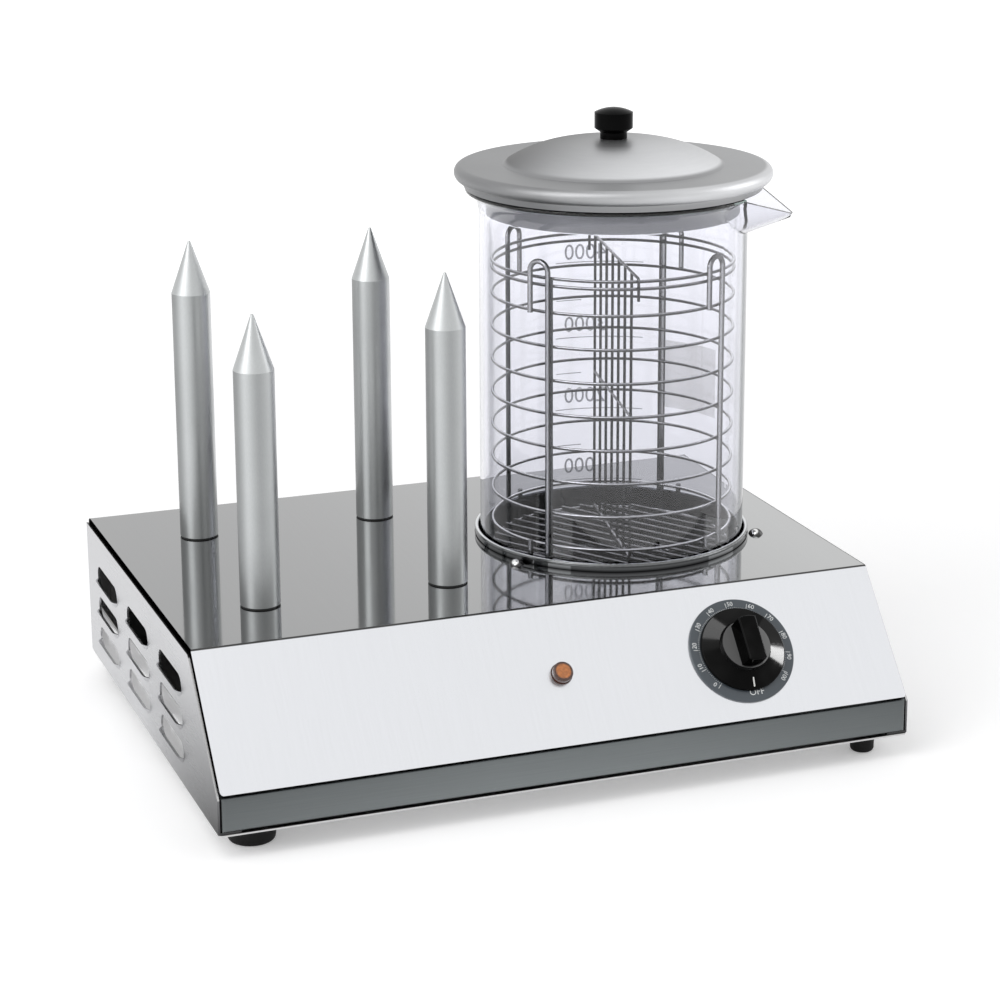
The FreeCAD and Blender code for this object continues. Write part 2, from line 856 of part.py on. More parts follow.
def glass_jar():
    flare = math.radians(rim_flare_angle)
    lip_rise = (rim_flare + jar_wall) * math.sin(flare)
    z_flare = jar_top - lip_rise - jar_wall * 0.1
    centre_r = jar_radius + rim_flare
    inner_r = jar_radius - jar_wall
    outer_end = at_radius(centre_r - rim_flare * math.cos(flare), z_flare + rim_flare * math.sin(flare))
    inner_flare = rim_flare + jar_wall
    inner_end = at_radius(centre_r - inner_flare * math.cos(flare), z_flare + inner_flare * math.sin(flare))
    half = flare / 2
    outer_mid = at_radius(centre_r - rim_flare * math.cos(half), z_flare + rim_flare * math.sin(half))
    inner_mid = at_radius(centre_r - inner_flare * math.cos(half), z_flare + inner_flare * math.sin(half))
    rim_mid = (outer_end + inner_end) * 0.5 + V(math.sin(flare), 0, math.cos(flare)) * (jar_wall / 2)
    z_low = well_floor_top
    c = jar_corner
    inner_c = jar_corner - jar_wall
    bend = 1 - math.sqrt(0.5)
    edges = [
        line(at_radius(0, z_low), at_radius(jar_radius - c, z_low)),
        arc(at_radius(jar_radius - c, z_low), at_radius(jar_radius - c * bend, z_low + c * bend), at_radius(jar_radius, z_low + c)),
        line(at_radius(jar_radius, z_low + c), at_radius(jar_radius, z_flare)),
        arc(at_radius(jar_radius, z_flare), outer_mid, outer_end),
        arc(outer_end, rim_mid, inner_end),
        arc(inner_end, inner_mid, at_radius(inner_r, z_flare)),
        line(at_radius(inner_r, z_flare), at_radius(inner_r, jar_inside + inner_c)),
        arc(
            at_radius(inner_r, jar_inside + inner_c),
            at_radius(inner_r - inner_c * bend, jar_inside + inner_c * bend),
            at_radius(inner_r - inner_c, jar_inside),
        ),
        line(at_radius(inner_r - inner_c, jar_inside), at_radius(0, jar_inside)),
        line(at_radius(0, jar_inside), at_radius(0, z_low)),
    ]
    body = revolve(edges)
    outer, inner, keep = spout_tools()
    inside = cylinder(inner_r, jar_height, V(well_x, well_y, jar_inside + jar_corner))
    trough = outer.common(keep).cut(inside)
    jar = body.fuse(trough).cut(inner)
    return jar.removeSplitter()


def spout_tools():
    # A half cone whose point lies at the tip of the spout and which widens into the jar
    turn = math.radians(spout_angle)
    outwards = V(math.cos(turn), math.sin(turn), 0)
    tip = around_well(spout_reach, spout_angle, jar_top - spout_tip_drop)
    rise = math.radians(spout_rise)
    axis = outwards * -math.cos(rise) + V(0, 0, math.sin(rise))
    spread = math.tan(math.radians(spout_spread))
    wide = spout_tip_radius + spout_length * spread
    outer = Part.makeCone(spout_tip_radius, wide, spout_length, tip, axis)
    thick = spout_wall / math.cos(math.radians(spout_spread))
    start = (spout_groove + thick - spout_tip_radius) / spread
    inner_length = spout_length + 2 * jar_wall - start
    inner_wide = spout_groove + inner_length * spread
    inner = Part.makeCone(spout_groove, inner_wide, inner_length, tip + axis * start, axis)
    size = 2 * spout_reach
    keep = box(V(-size, -size, -size), V(size, size, 0))
    keep.Placement = FreeCAD.Placement(tip, FreeCAD.Rotation(V(0, 0, 1), spout_angle).multiply(FreeCAD.Rotation(V(0, 1, 0), spout_rise)))
    below_lid = cylinder(size, jar_height, V(well_x, well_y, jar_top - jar_height))
    return outer, inner, keep.common(below_lid)


# Wire basket


def ring_levels():
    levels = [ring_low + ring_pitch * i for i in range(ring_count)]
    return levels + [floor_ring, ring_high - second_ring_drop]


def basket_rings():
    return Part.makeCompound([Part.makeTorus(ring_radius, ring_wire, V(well_x, well_y, z)) for z in ring_levels()])


def post_foot_level():
    # The lowest that the bent foot comes without touching the jar's inner corner
    inner_c = jar_corner - jar_wall
    room = inner_c - post_wire - post_foot_gap
    outwards = post_radius - (jar_radius - jar_corner)
    return jar_inside + inner_c - math.sqrt(room ** 2 - outwards ** 2)


def hook_post(angle):
    # A leg whose upper end turns over as a hook and whose lower end turns up as a foot
    long_leg = around_well(post_radius, angle, 0)
    short_leg = around_well(post_radius, angle - hook_turn, 0)
    middle = (long_leg + short_leg) * 0.5
    bend = (long_leg - short_leg).Length / 2
    z_arc = hook_top - post_wire - bend
    z_foot = post_foot_level()
    up = V(0, 0, 1)
    edges = [
        line(short_leg + up * foot_turn_end, short_leg + up * (z_foot + bend)),
        arc(short_leg + up * (z_foot + bend), middle + up * z_foot, long_leg + up * (z_foot + bend)),
        line(long_leg + up * (z_foot + bend), long_leg + up * z_arc),
        arc(long_leg + up * z_arc, middle + up * (z_arc + bend), short_leg + up * z_arc),
        line(short_leg + up * z_arc, short_leg + up * hook_end),
    ]
    return tube(Part.Wire(edges), post_wire)


def basket_posts():
    return Part.makeCompound([hook_post(angle) for angle in post_angles])


def basket_uprights():
    # A thin wire stands against the other side of each post
    radius = ring_radius + ring_wire + upright_wire - weld
    turn = math.degrees((post_wire + upright_wire - weld) / radius)
    low = floor_ring - ring_wire
    height = ring_high - low
    wires = [cylinder(upright_wire, height, around_well(radius, angle + turn, low)) for angle in post_angles]
    return Part.makeCompound(wires)


def basket_floor():
    # Parallel wires laid across the floor ring
    turn = math.radians(floor_wire_angle)
    along = V(math.cos(turn), math.sin(turn), 0)
    across = V(-along.y, along.x, 0)
    wires = []
    for i in range(floor_wires):
        offset = (i - (floor_wires - 1) / 2) * floor_wire_pitch
        half = math.sqrt(ring_radius ** 2 - offset ** 2)
        start = well_centre + across * offset - along * half + V(0, 0, z_floor_wires)
        wires.append(cylinder(ring_wire, 2 * half, start, along))
    return Part.makeCompound(wires)


def divider():
    turn = math.radians(divider_angle)
    along = V(math.cos(turn), math.sin(turn), 0)
    hook_q = ring_radius + ring_wire + divider_wire + fit_gap
    z_bar = ring_high + ring_wire + divider_wire + fit_gap
    bend = ring_wire + fit_gap + divider_wire
    up = V(0, 0, 1)
    points = [
        well_centre - along * hook_q + up * (z_bar - divider_hook_leg),
        well_centre - along * hook_q + up * z_bar,
        well_centre + along * hook_q + up * z_bar,
        well_centre + along * hook_q + up * (z_bar - divider_hook_leg),
    ]
    wires = [tube(rounded_path(points, bend), divider_wire)]
    low = z_floor_wires + ring_wire + divider_foot_gap
    reach = (divider_bars - 1) / 2 * divider_bar_pitch
    for i in range(divider_bars):
        place = well_centre + along * (i * divider_bar_pitch - reach) + up * low
        wires.append(cylinder(divider_wire, z_bar - low, place))
    lowest_cross = low + divider_cross_rise
    for i in range(divider_cross_count):
        z = lowest_cross + (z_bar - lowest_cross) * i / divider_cross_count
        wires.append(cylinder(divider_wire, 2 * reach, well_centre - along * reach + up * z, along))
    return fuse_all(wires)


# Lid


def dome_level(radius):
    # The dome is nearly flat on top and falls off towards its foot
    return lid_top + lid_dome_height * (1 - (radius / lid_dome_radius) ** lid_dome_power)


def dome_line(lowered):
    points = []
    for i in range(lid_dome_points + 1):
        radius = lid_dome_radius * i / lid_dome_points
        points.append(at_radius(radius, dome_level(radius) - lowered))
    curve = Part.BSplineCurve()
    curve.interpolate(points)
    return curve.toShape()


def lid():
    # One spun skin: dome, flat brim, rolled edge, seat and plug wall
    s = lid_skin
    edge_low = lid_top - lid_edge_height
    roll = lid_edge_height / 2
    brim_r = lid_radius - roll
    plug_in = lid_plug_radius - s
    z_plug = lid_base - lid_plug_depth
    r_roll = roll - s
    edges = [
        dome_line(0),
        line(at_radius(lid_dome_radius, lid_top), at_radius(brim_r, lid_top)),
        arc(at_radius(brim_r, lid_top), at_radius(lid_radius, lid_top - roll), at_radius(brim_r, edge_low)),
        line(at_radius(brim_r, edge_low), at_radius(lid_seat_radius, lid_base)),
        line(at_radius(lid_seat_radius, lid_base), at_radius(lid_plug_radius, lid_base)),
        line(at_radius(lid_plug_radius, lid_base), at_radius(lid_plug_radius, z_plug)),
        line(at_radius(lid_plug_radius, z_plug), at_radius(plug_in - lid_plug_lip, z_plug)),
        line(at_radius(plug_in - lid_plug_lip, z_plug), at_radius(plug_in - lid_plug_lip, z_plug + s)),
        line(at_radius(plug_in - lid_plug_lip, z_plug + s), at_radius(plug_in, z_plug + s)),
        line(at_radius(plug_in, z_plug + s), at_radius(plug_in, lid_base + s)),
        line(at_radius(plug_in, lid_base + s), at_radius(lid_seat_radius - s / 2, lid_base + s)),
        line(at_radius(lid_seat_radius - s / 2, lid_base + s), at_radius(brim_r - s / 4, edge_low + s)),
        arc(
            at_radius(brim_r - s / 4, edge_low + s),
            at_radius(lid_radius - s, lid_top - roll),
            at_radius(brim_r - s / 4, lid_top - s),
        ),
        line(at_radius(brim_r - s / 4, lid_top - s), at_radius(lid_dome_radius, lid_top - s)),
        dome_line(s),
        line(at_radius(0, dome_top - s), at_radius(0, dome_top)),
    ]
    skin = revolve(edges)
    hole = cylinder(lid_screw_radius + hole_clearance, 4 * s, V(well_x, well_y, dome_top - 2 * s))
    return skin.cut(hole)


def lid_knob():
    z_neck = dome_top
    z_cap = z_neck + knob_neck_height
    z_side = z_cap + knob_chamfer
    z_edge = z_side + knob_side
    ball = (knob_cap_radius ** 2 + knob_dome ** 2) / (2 * knob_dome)
    z_ball = z_edge + knob_dome - ball
    neck = at_radius(knob_neck_radius, z_neck)
    edges = [
        line(at_radius(0, z_neck), neck),
        line(neck, at_radius(knob_neck_radius, z_cap)),
        line(at_radius(knob_neck_radius, z_cap), at_radius(knob_cap_radius, z_side)),
        line(at_radius(knob_cap_radius, z_side), at_radius(knob_cap_radius, z_edge)),
        arc(
            at_radius(knob_cap_radius, z_edge),
            at_radius(knob_cap_radius / 2, z_ball + math.sqrt(ball ** 2 - knob_cap_radius ** 2 / 4)),
            at_radius(0, z_edge + knob_dome),
        ),
        line(at_radius(0, z_edge + knob_dome), at_radius(0, z_neck)),
    ]
    knob = revolve(edges)
    return knob.cut(cylinder(lid_screw_radius, lid_screw_length, V(well_x, well_y, z_neck)))


def lid_screw():
    z_seat = dome_level(lid_screw_head_radius) - lid_skin
    head = cylinder(lid_screw_head_radius, lid_screw_head_height, V(well_x, well_y, z_seat - lid_screw_head_height))
    z_low = z_seat - lid_screw_head_height / 2
    shank = cylinder(lid_screw_radius, z_seat - z_low + lid_screw_length, V(well_x, well_y, z_low))
    return head.fuse(shank).removeSplitter()


# Bun spikes


def spike(place, height):
    z_seat = place.z + gasket_height
    straight = height - spike_cone - gasket_height
    rod = cylinder(spike_radius, straight, V(place.x, place.y, z_seat))
    cone = Part.makeCone(spike_radius, spike_tip_radius, spike_cone, V(place.x, place.y, z_seat + straight))
    spigot = cylinder(spigot_radius, spigot_length + gasket_height, V(place.x, place.y, place.z - spigot_length))
    bore = cylinder(cartridge_radius, spigot_length + cartridge_length, V(place.x, place.y, place.z - spigot_length))
    return fuse_all([rod, cone, spigot]).cut(bore)


def spike_gaskets():
    rings = []
    for place in spike_places():
        ring = cylinder(spike_radius - gasket_inset, gasket_height, place)
        rings.append(ring.cut(cylinder(spigot_radius + hole_clearance, 3 * gasket_height, place - V(0, 0, gasket_height))))
    return Part.makeCompound(rings)


def spike_nuts():
    nuts = []
    for place in spike_places():
        low = V(place.x, place.y, z_skin - spike_nut_height)
        nuts.append(nut(spike_nut_width, spike_nut_height, spigot_radius + shaft_clearance, low))
    return Part.makeCompound(nuts)


def cartridge_heaters():
    rods = []
    radius = cartridge_radius - cartridge_clearance
    for place in spike_places():
        low = V(place.x, place.y, place.z - spigot_length - cartridge_tail)
        rods.append(cylinder(radius, cartridge_length, low))
    return Part.makeCompound(rods)


# Controls


def dial_ring():
    ring = Part.makeCylinder(dial_radius, dial_thickness)
    edge = [e for e in ring.Edges if abs(e.CenterOfMass.z - dial_thickness) < 0.01]
    ring = ring.makeFillet(dial_thickness / 2, edge)
    ring = ring.cut(Part.makeCylinder(dial_bore, 3 * dial_thickness, V(0, 0, -dial_thickness)))
    ring.Placement = panel_place(dial_x, dial_down)
    return ring


def thermostat_knob():
    # A shallow dished skirt rises to a hub with a tall grip bar across it
    low = dial_thickness + knob_gap
    z_skirt = low + skirt_height
    dish = Part.makeCone(skirt_radius, hub_radius, skirt_height - skirt_edge, V(0, 0, low + skirt_edge))
    skirt = Part.makeCylinder(skirt_radius, skirt_edge, V(0, 0, low)).fuse(dish).removeSplitter()
    rim = [edge for edge in skirt.Edges if abs(edge.CenterOfMass.z - low - skirt_edge) < 0.01 and edge.Length > skirt_radius]
    skirt = skirt.makeFillet(skirt_edge / 2, rim)
    hub = Part.makeCone(hub_radius, hub_radius - hub_step, hub_height - skirt_height, V(0, 0, z_skirt))
    half = grip_length / 2
    root = grip_root_width / 2
    top = grip_width / 2
    z_root = low + skirt_height / 2
    z_grip = z_skirt + grip_height
    section = [V(-root, -half, z_root), V(root, -half, z_root), V(top, -half, z_grip), V(-top, -half, z_grip)]
    bar = Part.Face(Part.makePolygon(section + section[:1])).extrude(V(0, grip_length, 0))
    bar = bar.common(Part.makeCylinder(half, 2 * z_grip))
    tops = [edge for edge in bar.Edges if abs(edge.BoundBox.ZMin - z_grip) < 0.01]
    bar = bar.makeFillet(hub_step, tops)
    body = fuse_all([skirt, hub, bar])
    hollow = Part.makeCylinder(knob_hollow_radius, knob_hollow_depth, V(0, 0, low - shaft_clearance))
    body = body.cut(hollow)
    boss = Part.makeCylinder(2 * shaft_radius, knob_hollow_depth, V(0, 0, low))
    body = body.fuse(boss).removeSplitter()
    body = body.cut(Part.makeCylinder(shaft_radius, shaft_reach, V(0, 0, 0)))
    body.Placement = panel_place(dial_x, dial_down)
    return body


def thermostat_shaft():
    shaft = Part.makeCylinder(shaft_radius, shaft_inside + shaft_reach, V(0, 0, -shaft_inside))
    shaft.Placement = panel_place(dial_x, dial_down)
    return shaft


def thermostat_body():
    half = thermostat_size / 2
    block = box(V(-half, -half, -sheet - thermostat_depth), V(half, half, -sheet))
    uprights = [edge for edge in block.Edges if edge.BoundBox.ZLength > thermostat_depth / 2]
    block = block.makeFillet(bend_radius, uprights)
    z_back = -sheet - thermostat_depth
    for side in (-1, 1):
        low = V(side * lug_pitch - lug_width / 2, -lug_thickness / 2, z_back - lug_length)
        block = block.fuse(box(low, low + V(lug_width, lug_thickness, lug_length)))
    bore = Part.makeCylinder(shaft_radius + shaft_clearance, shaft_inside + fit_gap, V(0, 0, -shaft_inside - fit_gap))
    block = block.cut(bore)
    for side in (-1, 1):
        place = V(side * thermostat_screw_pitch / 2, 0, -sheet - 4 * screw_radius)
        block = block.cut(Part.makeCylinder(screw_radius, 4 * screw_radius + sheet, place))
    block = block.removeSplitter()
    block.Placement = panel_place(dial_x, dial_down)
    return block


def thermostat_screws():
    screws = []
    head = screw_head_height
    for side in (-1, 1):
        place = V(side * thermostat_screw_pitch / 2, 0, 0)
        screw = pan_screw(place, V(0, 0, -1), sheet + 3 * screw_radius)
        screw.Placement = panel_place(dial_x, dial_down)
        screws.append(screw)
    return Part.makeCompound(screws)


def pilot_lens():
    flange = Part.makeCylinder(lens_flange_radius, lens_flange_height)
    barrel = Part.makeCylinder(lens_radius, lens_height)
    front = [edge for edge in barrel.Edges if abs(edge.CenterOfMass.z - lens_height) < 0.01]
    barrel = barrel.makeFillet(lens_dome, front)
    lens = fuse_all([flange, barrel])
    lens.Placement = panel_place(lamp_x, lamp_down)
    return lens


def pilot_lamp_body():
    body = Part.makeCylinder(lamp_radius, lamp_length, V(0, 0, -lamp_length))
    for side in (-1, 1):
        low = V(side * lamp_radius / 2 - lug_width / 4, -lug_thickness / 2, -lamp_length - lug_length)
        body = body.fuse(box(low, low + V(lug_width / 2, lug_thickness, lug_length)))
    body = body.removeSplitter()
    body.Placement = panel_place(lamp_x, lamp_down)
    return body


def pilot_lamp_nut():
    clip = nut(lamp_nut_width, lamp_nut_height, lamp_radius + shaft_clearance, V(0, 0, -sheet - lamp_nut_height))
    place = panel_place(lamp_x, lamp_down)
    clip.Placement = place.multiply(clip.Placement) if not clip.Placement.isIdentity() else place
    return clip


# Supply side


def cable_gland():
    base = V(gland_x, y_panel_outer, gland_height)
    back = V(0, 1, 0)
    head = cylinder(gland_head_radius, gland_head_height, base, back)
    outer = [edge for edge in head.Edges if abs(edge.CenterOfMass.y - base.y - gland_head_height) < 0.01]
    head = head.makeFillet(bend_radius, outer)
    body = cylinder(gland_body_radius, gland_body_length, base, back * -1)
    gland = fuse_all([head, body])
    length = gland_head_height + gland_body_length
    return gland.cut(cylinder(gland_bore_radius, length + 2 * sheet, base + back * (gland_head_height + sheet), back * -1))


def gland_nut():
    base = V(gland_x, y_panel_inner, gland_height)
    return nut(gland_nut_width, gland_nut_height, gland_body_radius + shaft_clearance, base, V(0, -1, 0))


def terminal_block():
    # The strip of terminals lies on the bottom plate, midway between the spikes
    block_length = block_ways * block_pitch
    low = V(block_x - block_length / 2, block_y - block_width / 2, z_flange)
    high = V(block_x + block_length / 2, block_y + block_width / 2, z_flange + block_height)
    block = box(low, high)
    for i in range(block_ways):
        x = way_x(i)
        block = block.cut(cylinder(block_screw_radius, block_screw_height, V(x, block_y, high.z - block_screw_height)))
        for side in (-1, 1):
            mouth = V(x, mouth_y(side), lead_height())
            block = block.cut(cylinder(lead_radius, 2 * block_screw_height, mouth, V(0, side, 0)))
    return block


def lead_height():
    return z_flange + block_height / 3


def mouth_y(side):
    return block_y + side * (block_width / 2 - block_screw_height)


def way_x(i):
    return block_x + (i - (block_ways - 1) / 2) * block_pitch


def terminal_screws():
    screws = []
    z_high = z_flange + block_height
    for i in range(block_ways):
        low = V(way_x(i), block_y, z_high - block_screw_height)
        screw = cylinder(block_screw_radius - shaft_clearance, block_screw_height - 1, low)
        slot = box(low + V(-block_screw_radius, -lug_thickness / 2, 3), low + V(block_screw_radius, lug_thickness / 2, 5))
        screws.append(screw.cut(slot))
    return Part.makeCompound(screws)


def earth_stud():
    place = V(earth_x, earth_y, z_flange)
    stud = cylinder(screw_radius, earth_height, place)
    nut_width = 2 * screw_head_radius
    low_nut = nut(nut_width, dome_nut_height, screw_radius + shaft_clearance, place)
    return Part.makeCompound([stud, low_nut])


def capillary():
    # The thin tube from the bulb under the well to the thermostat
    bulb_end = V(well_x + bulb_length / 2, well_y - bulb_offset, element_axis)
    body_end = on_panel(dial_x, dial_down - thermostat_size / 4, -sheet - thermostat_depth)
    step = bulb_end + V(capillary_step, 0, 0)
    low = step - V(0, 0, capillary_drop)
    points = [
        bulb_end,
        step,
        low,
        low + V(capillary_swing, -2 * capillary_swing, 0),
        body_end + inwards * capillary_swing,
        body_end,
    ]
    return tube(rounded_path(points, lead_bend), capillary_radius)


def spike_lead(place, way, side):
    # Down from a cartridge, across to its terminal and in at the mouth
    z = lead_height()
    high = V(place.x, place.y, place.z - spigot_length - cartridge_tail)
    points = [
        high,
        V(place.x, place.y, z),
        V(way_x(way), place.y, z),
        V(way_x(way), mouth_y(side), z),
    ]
    return points


def panel_lead(start, lane, way):
    # From a tag behind the slanted panel down to the plate and back to the terminals
    z = lead_height()
    knee = start + inwards * lead_drop
    points = [
        start,
        knee,
        V(start.x, lane, z),
        V(way_x(way), lane, z),
        V(way_x(way), mouth_y(-1), z),
    ]
    return points


def wiring():
    last = block_ways - 1
    rear_left, front_left, rear_right, front_right = spike_places()
    paths = [
        spike_lead(rear_left, 0, 1),
        spike_lead(front_left, 0, -1),
        spike_lead(rear_right, last, 1),
        spike_lead(front_right, last, -1),
    ]
    lamp_end = -lamp_length - lug_length
    for side, way in ((-1, 1), (1, 2)):
        start = on_panel(lamp_x + side * lamp_radius / 2, lamp_down, lamp_end)
        paths.append(panel_lead(start, lead_lane - side * lead_lane_pitch, way))
    tag_end = -sheet - thermostat_depth - lug_length
    supply_tag = on_panel(dial_x + lug_pitch, dial_down, tag_end)
    paths.append(panel_lead(supply_tag, lead_lane + 2 * lead_lane_pitch, last - 1))
    element_tag = on_panel(dial_x - lug_pitch, dial_down, tag_end)
    pin_x = well_x - element_leg - pin_length
    front_pin = V(pin_x, well_y - element_radius, element_axis)
    knee = element_tag + inwards * lead_drop
    paths.append([
        element_tag,
        knee,
        V(pin_x - 2 * lead_bend, knee.y + lead_drop, knee.z),
        front_pin - V(2 * lead_bend, 0, 0),
        front_pin,
    ])
    rear_pin = V(pin_x, well_y + element_radius, element_axis)
    z_over = lead_height() + lead_bend
    paths.append([
        rear_pin,
        rear_pin - V(2 * lead_bend, 0, 0),
        V(pin_x - 2 * lead_bend, rear_pin.y, z_over),
        V(way_x(last - 1), rear_pin.y, z_over),
        V(way_x(last - 1), mouth_y(1) + 2 * lead_bend, lead_height()),
        V(way_x(last - 1), mouth_y(1), lead_height()),
    ])
    return Part.makeCompound([tube(rounded_path(points, lead_bend), lead_radius) for points in paths])


def main():
    os.makedirs("parts", exist_ok=True)
    nodes = {}
    left = side_panel()
    nodes["side_panel_left"] = left
    nodes["side_panel_right"] = mirrored_x(left)
    nodes["cover"] = cover()
    nodes["base_frame"] = base_frame()
    nodes["bottom_plate"] = bottom_plate()
    nodes["rear_panel"] = rear_panel()
    wide, slim = foot_places()
    nodes["foot_front_left"] = foot(wide[0], wide_foot_radius, wide_foot_waist)
    nodes["foot_rear_left"] = foot(wide[1], wide_foot_radius, wide_foot_waist)
    nodes["foot_front_right"] = foot(slim[0], slim_foot_radius, slim_foot_waist)
    nodes["foot_rear_right"] = foot(slim[1], slim_foot_radius, slim_foot_waist)
    nodes["foot_studs"] = foot_studs(wide + slim)
    nodes["foot_nuts"] = foot_nuts(wide + slim)
    nodes["base_screws"] = base_screws()
    nodes["rear_screws"] = rear_screws()
    nodes["heating_bowl"] = heating_bowl()
    nodes["well_screws"] = well_screws()
    nodes["well_nuts"] = well_nuts()
    nodes["heat_spreader"] = heat_spreader()
    nodes["heating_element"] = heating_element()
    nodes["element_pins"] = element_pins()
    nodes["element_clamp"] = element_clamp()
    nodes["well_stud"] = well_stud()
    nodes["well_stud_nut"] = well_stud_nut()
    nodes["thermostat_bulb"] = thermostat_bulb()
    nodes["glass_jar"] = glass_jar()
    nodes["basket_rings"] = basket_rings()
    nodes["basket_posts"] = basket_posts()
    nodes["basket_uprights"] = basket_uprights()
    nodes["basket_floor"] = basket_floor()
    nodes["basket_divider"] = divider()
    nodes["lid"] = lid()
    nodes["lid_knob"] = lid_knob()
    nodes["lid_screw"] = lid_screw()
    rear_left, front_left, rear_right, front_right = spike_places()
    nodes["spike_rear_left"] = spike(rear_left, spike_height)
    nodes["spike_front_left"] = spike(front_left, short_spike_height)
    nodes["spike_rear_right"] = spike(rear_right, spike_height)
    nodes["spike_front_right"] = spike(front_right, spike_height)
    nodes["spike_gaskets"] = spike_gaskets()
    nodes["spike_nuts"] = spike_nuts()
    nodes["cartridge_heaters"] = cartridge_heaters()
    nodes["dial_ring"] = dial_ring()
    nodes["thermostat_knob"] = thermostat_knob()
    nodes["thermostat_shaft"] = thermostat_shaft()
    nodes["thermostat_body"] = thermostat_body()
    nodes["thermostat_screws"] = thermostat_screws()
    nodes["pilot_lens"] = pilot_lens()
    nodes["pilot_lamp_body"] = pilot_lamp_body()
    nodes["pilot_lamp_nut"] = pilot_lamp_nut()
    nodes["cable_gland"] = cable_gland()
    nodes["gland_nut"] = gland_nut()
    nodes["terminal_block"] = terminal_block()
    nodes["terminal_screws"] = terminal_screws()
    nodes["earth_stud"] = earth_stud()
    nodes["capillary"] = capillary()
    nodes["wiring"] = wiring()
    for name, shape in nodes.items():
        shape.exportStep("parts/" + name + ".step")
        print(name, "solids", len(shape.Solids), "valid", shape.isValid(), "volume", round(shape.Volume))


main()
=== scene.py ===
import math

import bpy
from mathutils import Matrix, Vector


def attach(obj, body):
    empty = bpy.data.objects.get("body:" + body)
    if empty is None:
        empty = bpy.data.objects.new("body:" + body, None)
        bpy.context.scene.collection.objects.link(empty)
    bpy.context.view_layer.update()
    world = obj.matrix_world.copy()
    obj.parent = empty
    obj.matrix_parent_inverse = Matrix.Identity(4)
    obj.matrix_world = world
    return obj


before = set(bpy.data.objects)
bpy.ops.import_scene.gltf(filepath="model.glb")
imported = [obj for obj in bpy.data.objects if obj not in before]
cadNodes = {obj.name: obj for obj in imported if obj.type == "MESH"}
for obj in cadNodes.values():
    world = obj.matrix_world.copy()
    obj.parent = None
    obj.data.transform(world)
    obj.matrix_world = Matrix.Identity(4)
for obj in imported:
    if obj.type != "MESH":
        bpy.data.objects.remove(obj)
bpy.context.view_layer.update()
print("frame loaded:", len(cadNodes), "nodes")

# sizes of the casing that the marks and finishes follow, in metres
casing = {
    "topZ": 0.107,
    "bendY": -0.1075,
    "slantLowZ": 0.040,
    "slantFrontY": -0.1665,
    "coverHalf": 0.2159,
    "sideDrop": 0.0030,
}
tilt = math.atan2(casing["topZ"] - casing["slantLowZ"], casing["bendY"] - casing["slantFrontY"])

# seen from the front left: which way is right in the picture, and which way is towards its viewer
pictureRight = (0.9324, -0.3615)
pictureFront = (-0.3615, -0.9324)


def panelMatrix(x, down, height=0.0):
    # local X runs right, local Y up the slope and local Z out of the slanted panel
    y = casing["bendY"] - down * math.cos(tilt) - height * math.sin(tilt)
    z = casing["topZ"] - down * math.sin(tilt) + height * math.cos(tilt)
    return Matrix.Translation((x, y, z)) @ Matrix.Rotation(tilt, 4, "X")


# ---- small helpers for shader trees


def grey(value):
    return (value, value, value)


def addNode(tree, kind, **settings):
    node = tree.nodes.new(kind)
    for name, value in settings.items():
        setattr(node, name, value)
    return node


def mathNode(tree, operation, first, second=None, third=None, clamp=False):
    node = addNode(tree, "ShaderNodeMath", operation=operation, use_clamp=clamp)
    for i, value in enumerate((first, second, third)):
        if value is None:
            continue
        if isinstance(value, (int, float)):
            node.inputs[i].default_value = value
        else:
            tree.links.new(value, node.inputs[i])
    return node.outputs[0]


def rampNode(tree, value, low, high, lowTo=0.0, highTo=1.0, smooth=True):
    node = addNode(tree, "ShaderNodeMapRange")
    node.interpolation_type = "SMOOTHSTEP" if smooth else "LINEAR"
    tree.links.new(value, node.inputs["Value"])
    node.inputs["From Min"].default_value = low
    node.inputs["From Max"].default_value = high
    node.inputs["To Min"].default_value = lowTo
    node.inputs["To Max"].default_value = highTo
    return node.outputs["Result"]


def mixColors(tree, factor, first, second, blend="MIX"):
    node = addNode(tree, "ShaderNodeMix", data_type="RGBA", blend_type=blend)
    sockets = (node.inputs[0], node.inputs[6], node.inputs[7])
    for socket, value in zip(sockets, (factor, first, second)):
        if isinstance(value, (int, float)):
            socket.default_value = value
        elif isinstance(value, (tuple, list)):
            socket.default_value = (*value[:3], 1.0)
        else:
            tree.links.new(value, socket)
    return node.outputs[2]


def multiply(tree, color, shade):
    return mixColors(tree, 1.0, color, shade, "MULTIPLY")


def objectAxes(tree):
    coords = addNode(tree, "ShaderNodeTexCoord")
    split = addNode(tree, "ShaderNodeSeparateXYZ")
    tree.links.new(coords.outputs["Object"], split.inputs[0])
    return split.outputs[0], split.outputs[1], split.outputs[2]


def normalAlong(tree, direction):
    # how far the surface turns towards a direction: 1 facing it, -1 facing away
    coords = addNode(tree, "ShaderNodeTexCoord")
    along = addNode(tree, "ShaderNodeVectorMath", operation="DOT_PRODUCT")
    along.inputs[1].default_value = direction
    tree.links.new(coords.outputs["Normal"], along.inputs[0])
    return along.outputs["Value"]


def distanceOf(tree, first, second):
    squares = [mathNode(tree, "POWER", part, 2.0) for part in (first, second)]
    return mathNode(tree, "SQRT", mathNode(tree, "ADD", *squares))


def fromJarAxis(tree, x, y):
    # offsets from the jar's upright axis, and the distance from it
    fromX = mathNode(tree, "SUBTRACT", x, jarLook["x"])
    fromY = mathNode(tree, "SUBTRACT", y, jarLook["y"])
    return fromX, fromY, distanceOf(tree, fromX, fromY)


def aboveSlant(tree, y, z):
    # how far a point stands out of the slanted panel's plane
    fromY = mathNode(tree, "MULTIPLY", mathNode(tree, "SUBTRACT", y, casing["bendY"]), -math.sin(tilt))
    fromZ = mathNode(tree, "SUBTRACT", z, casing["topZ"])
    return mathNode(tree, "MULTIPLY_ADD", fromZ, math.cos(tilt), fromY)


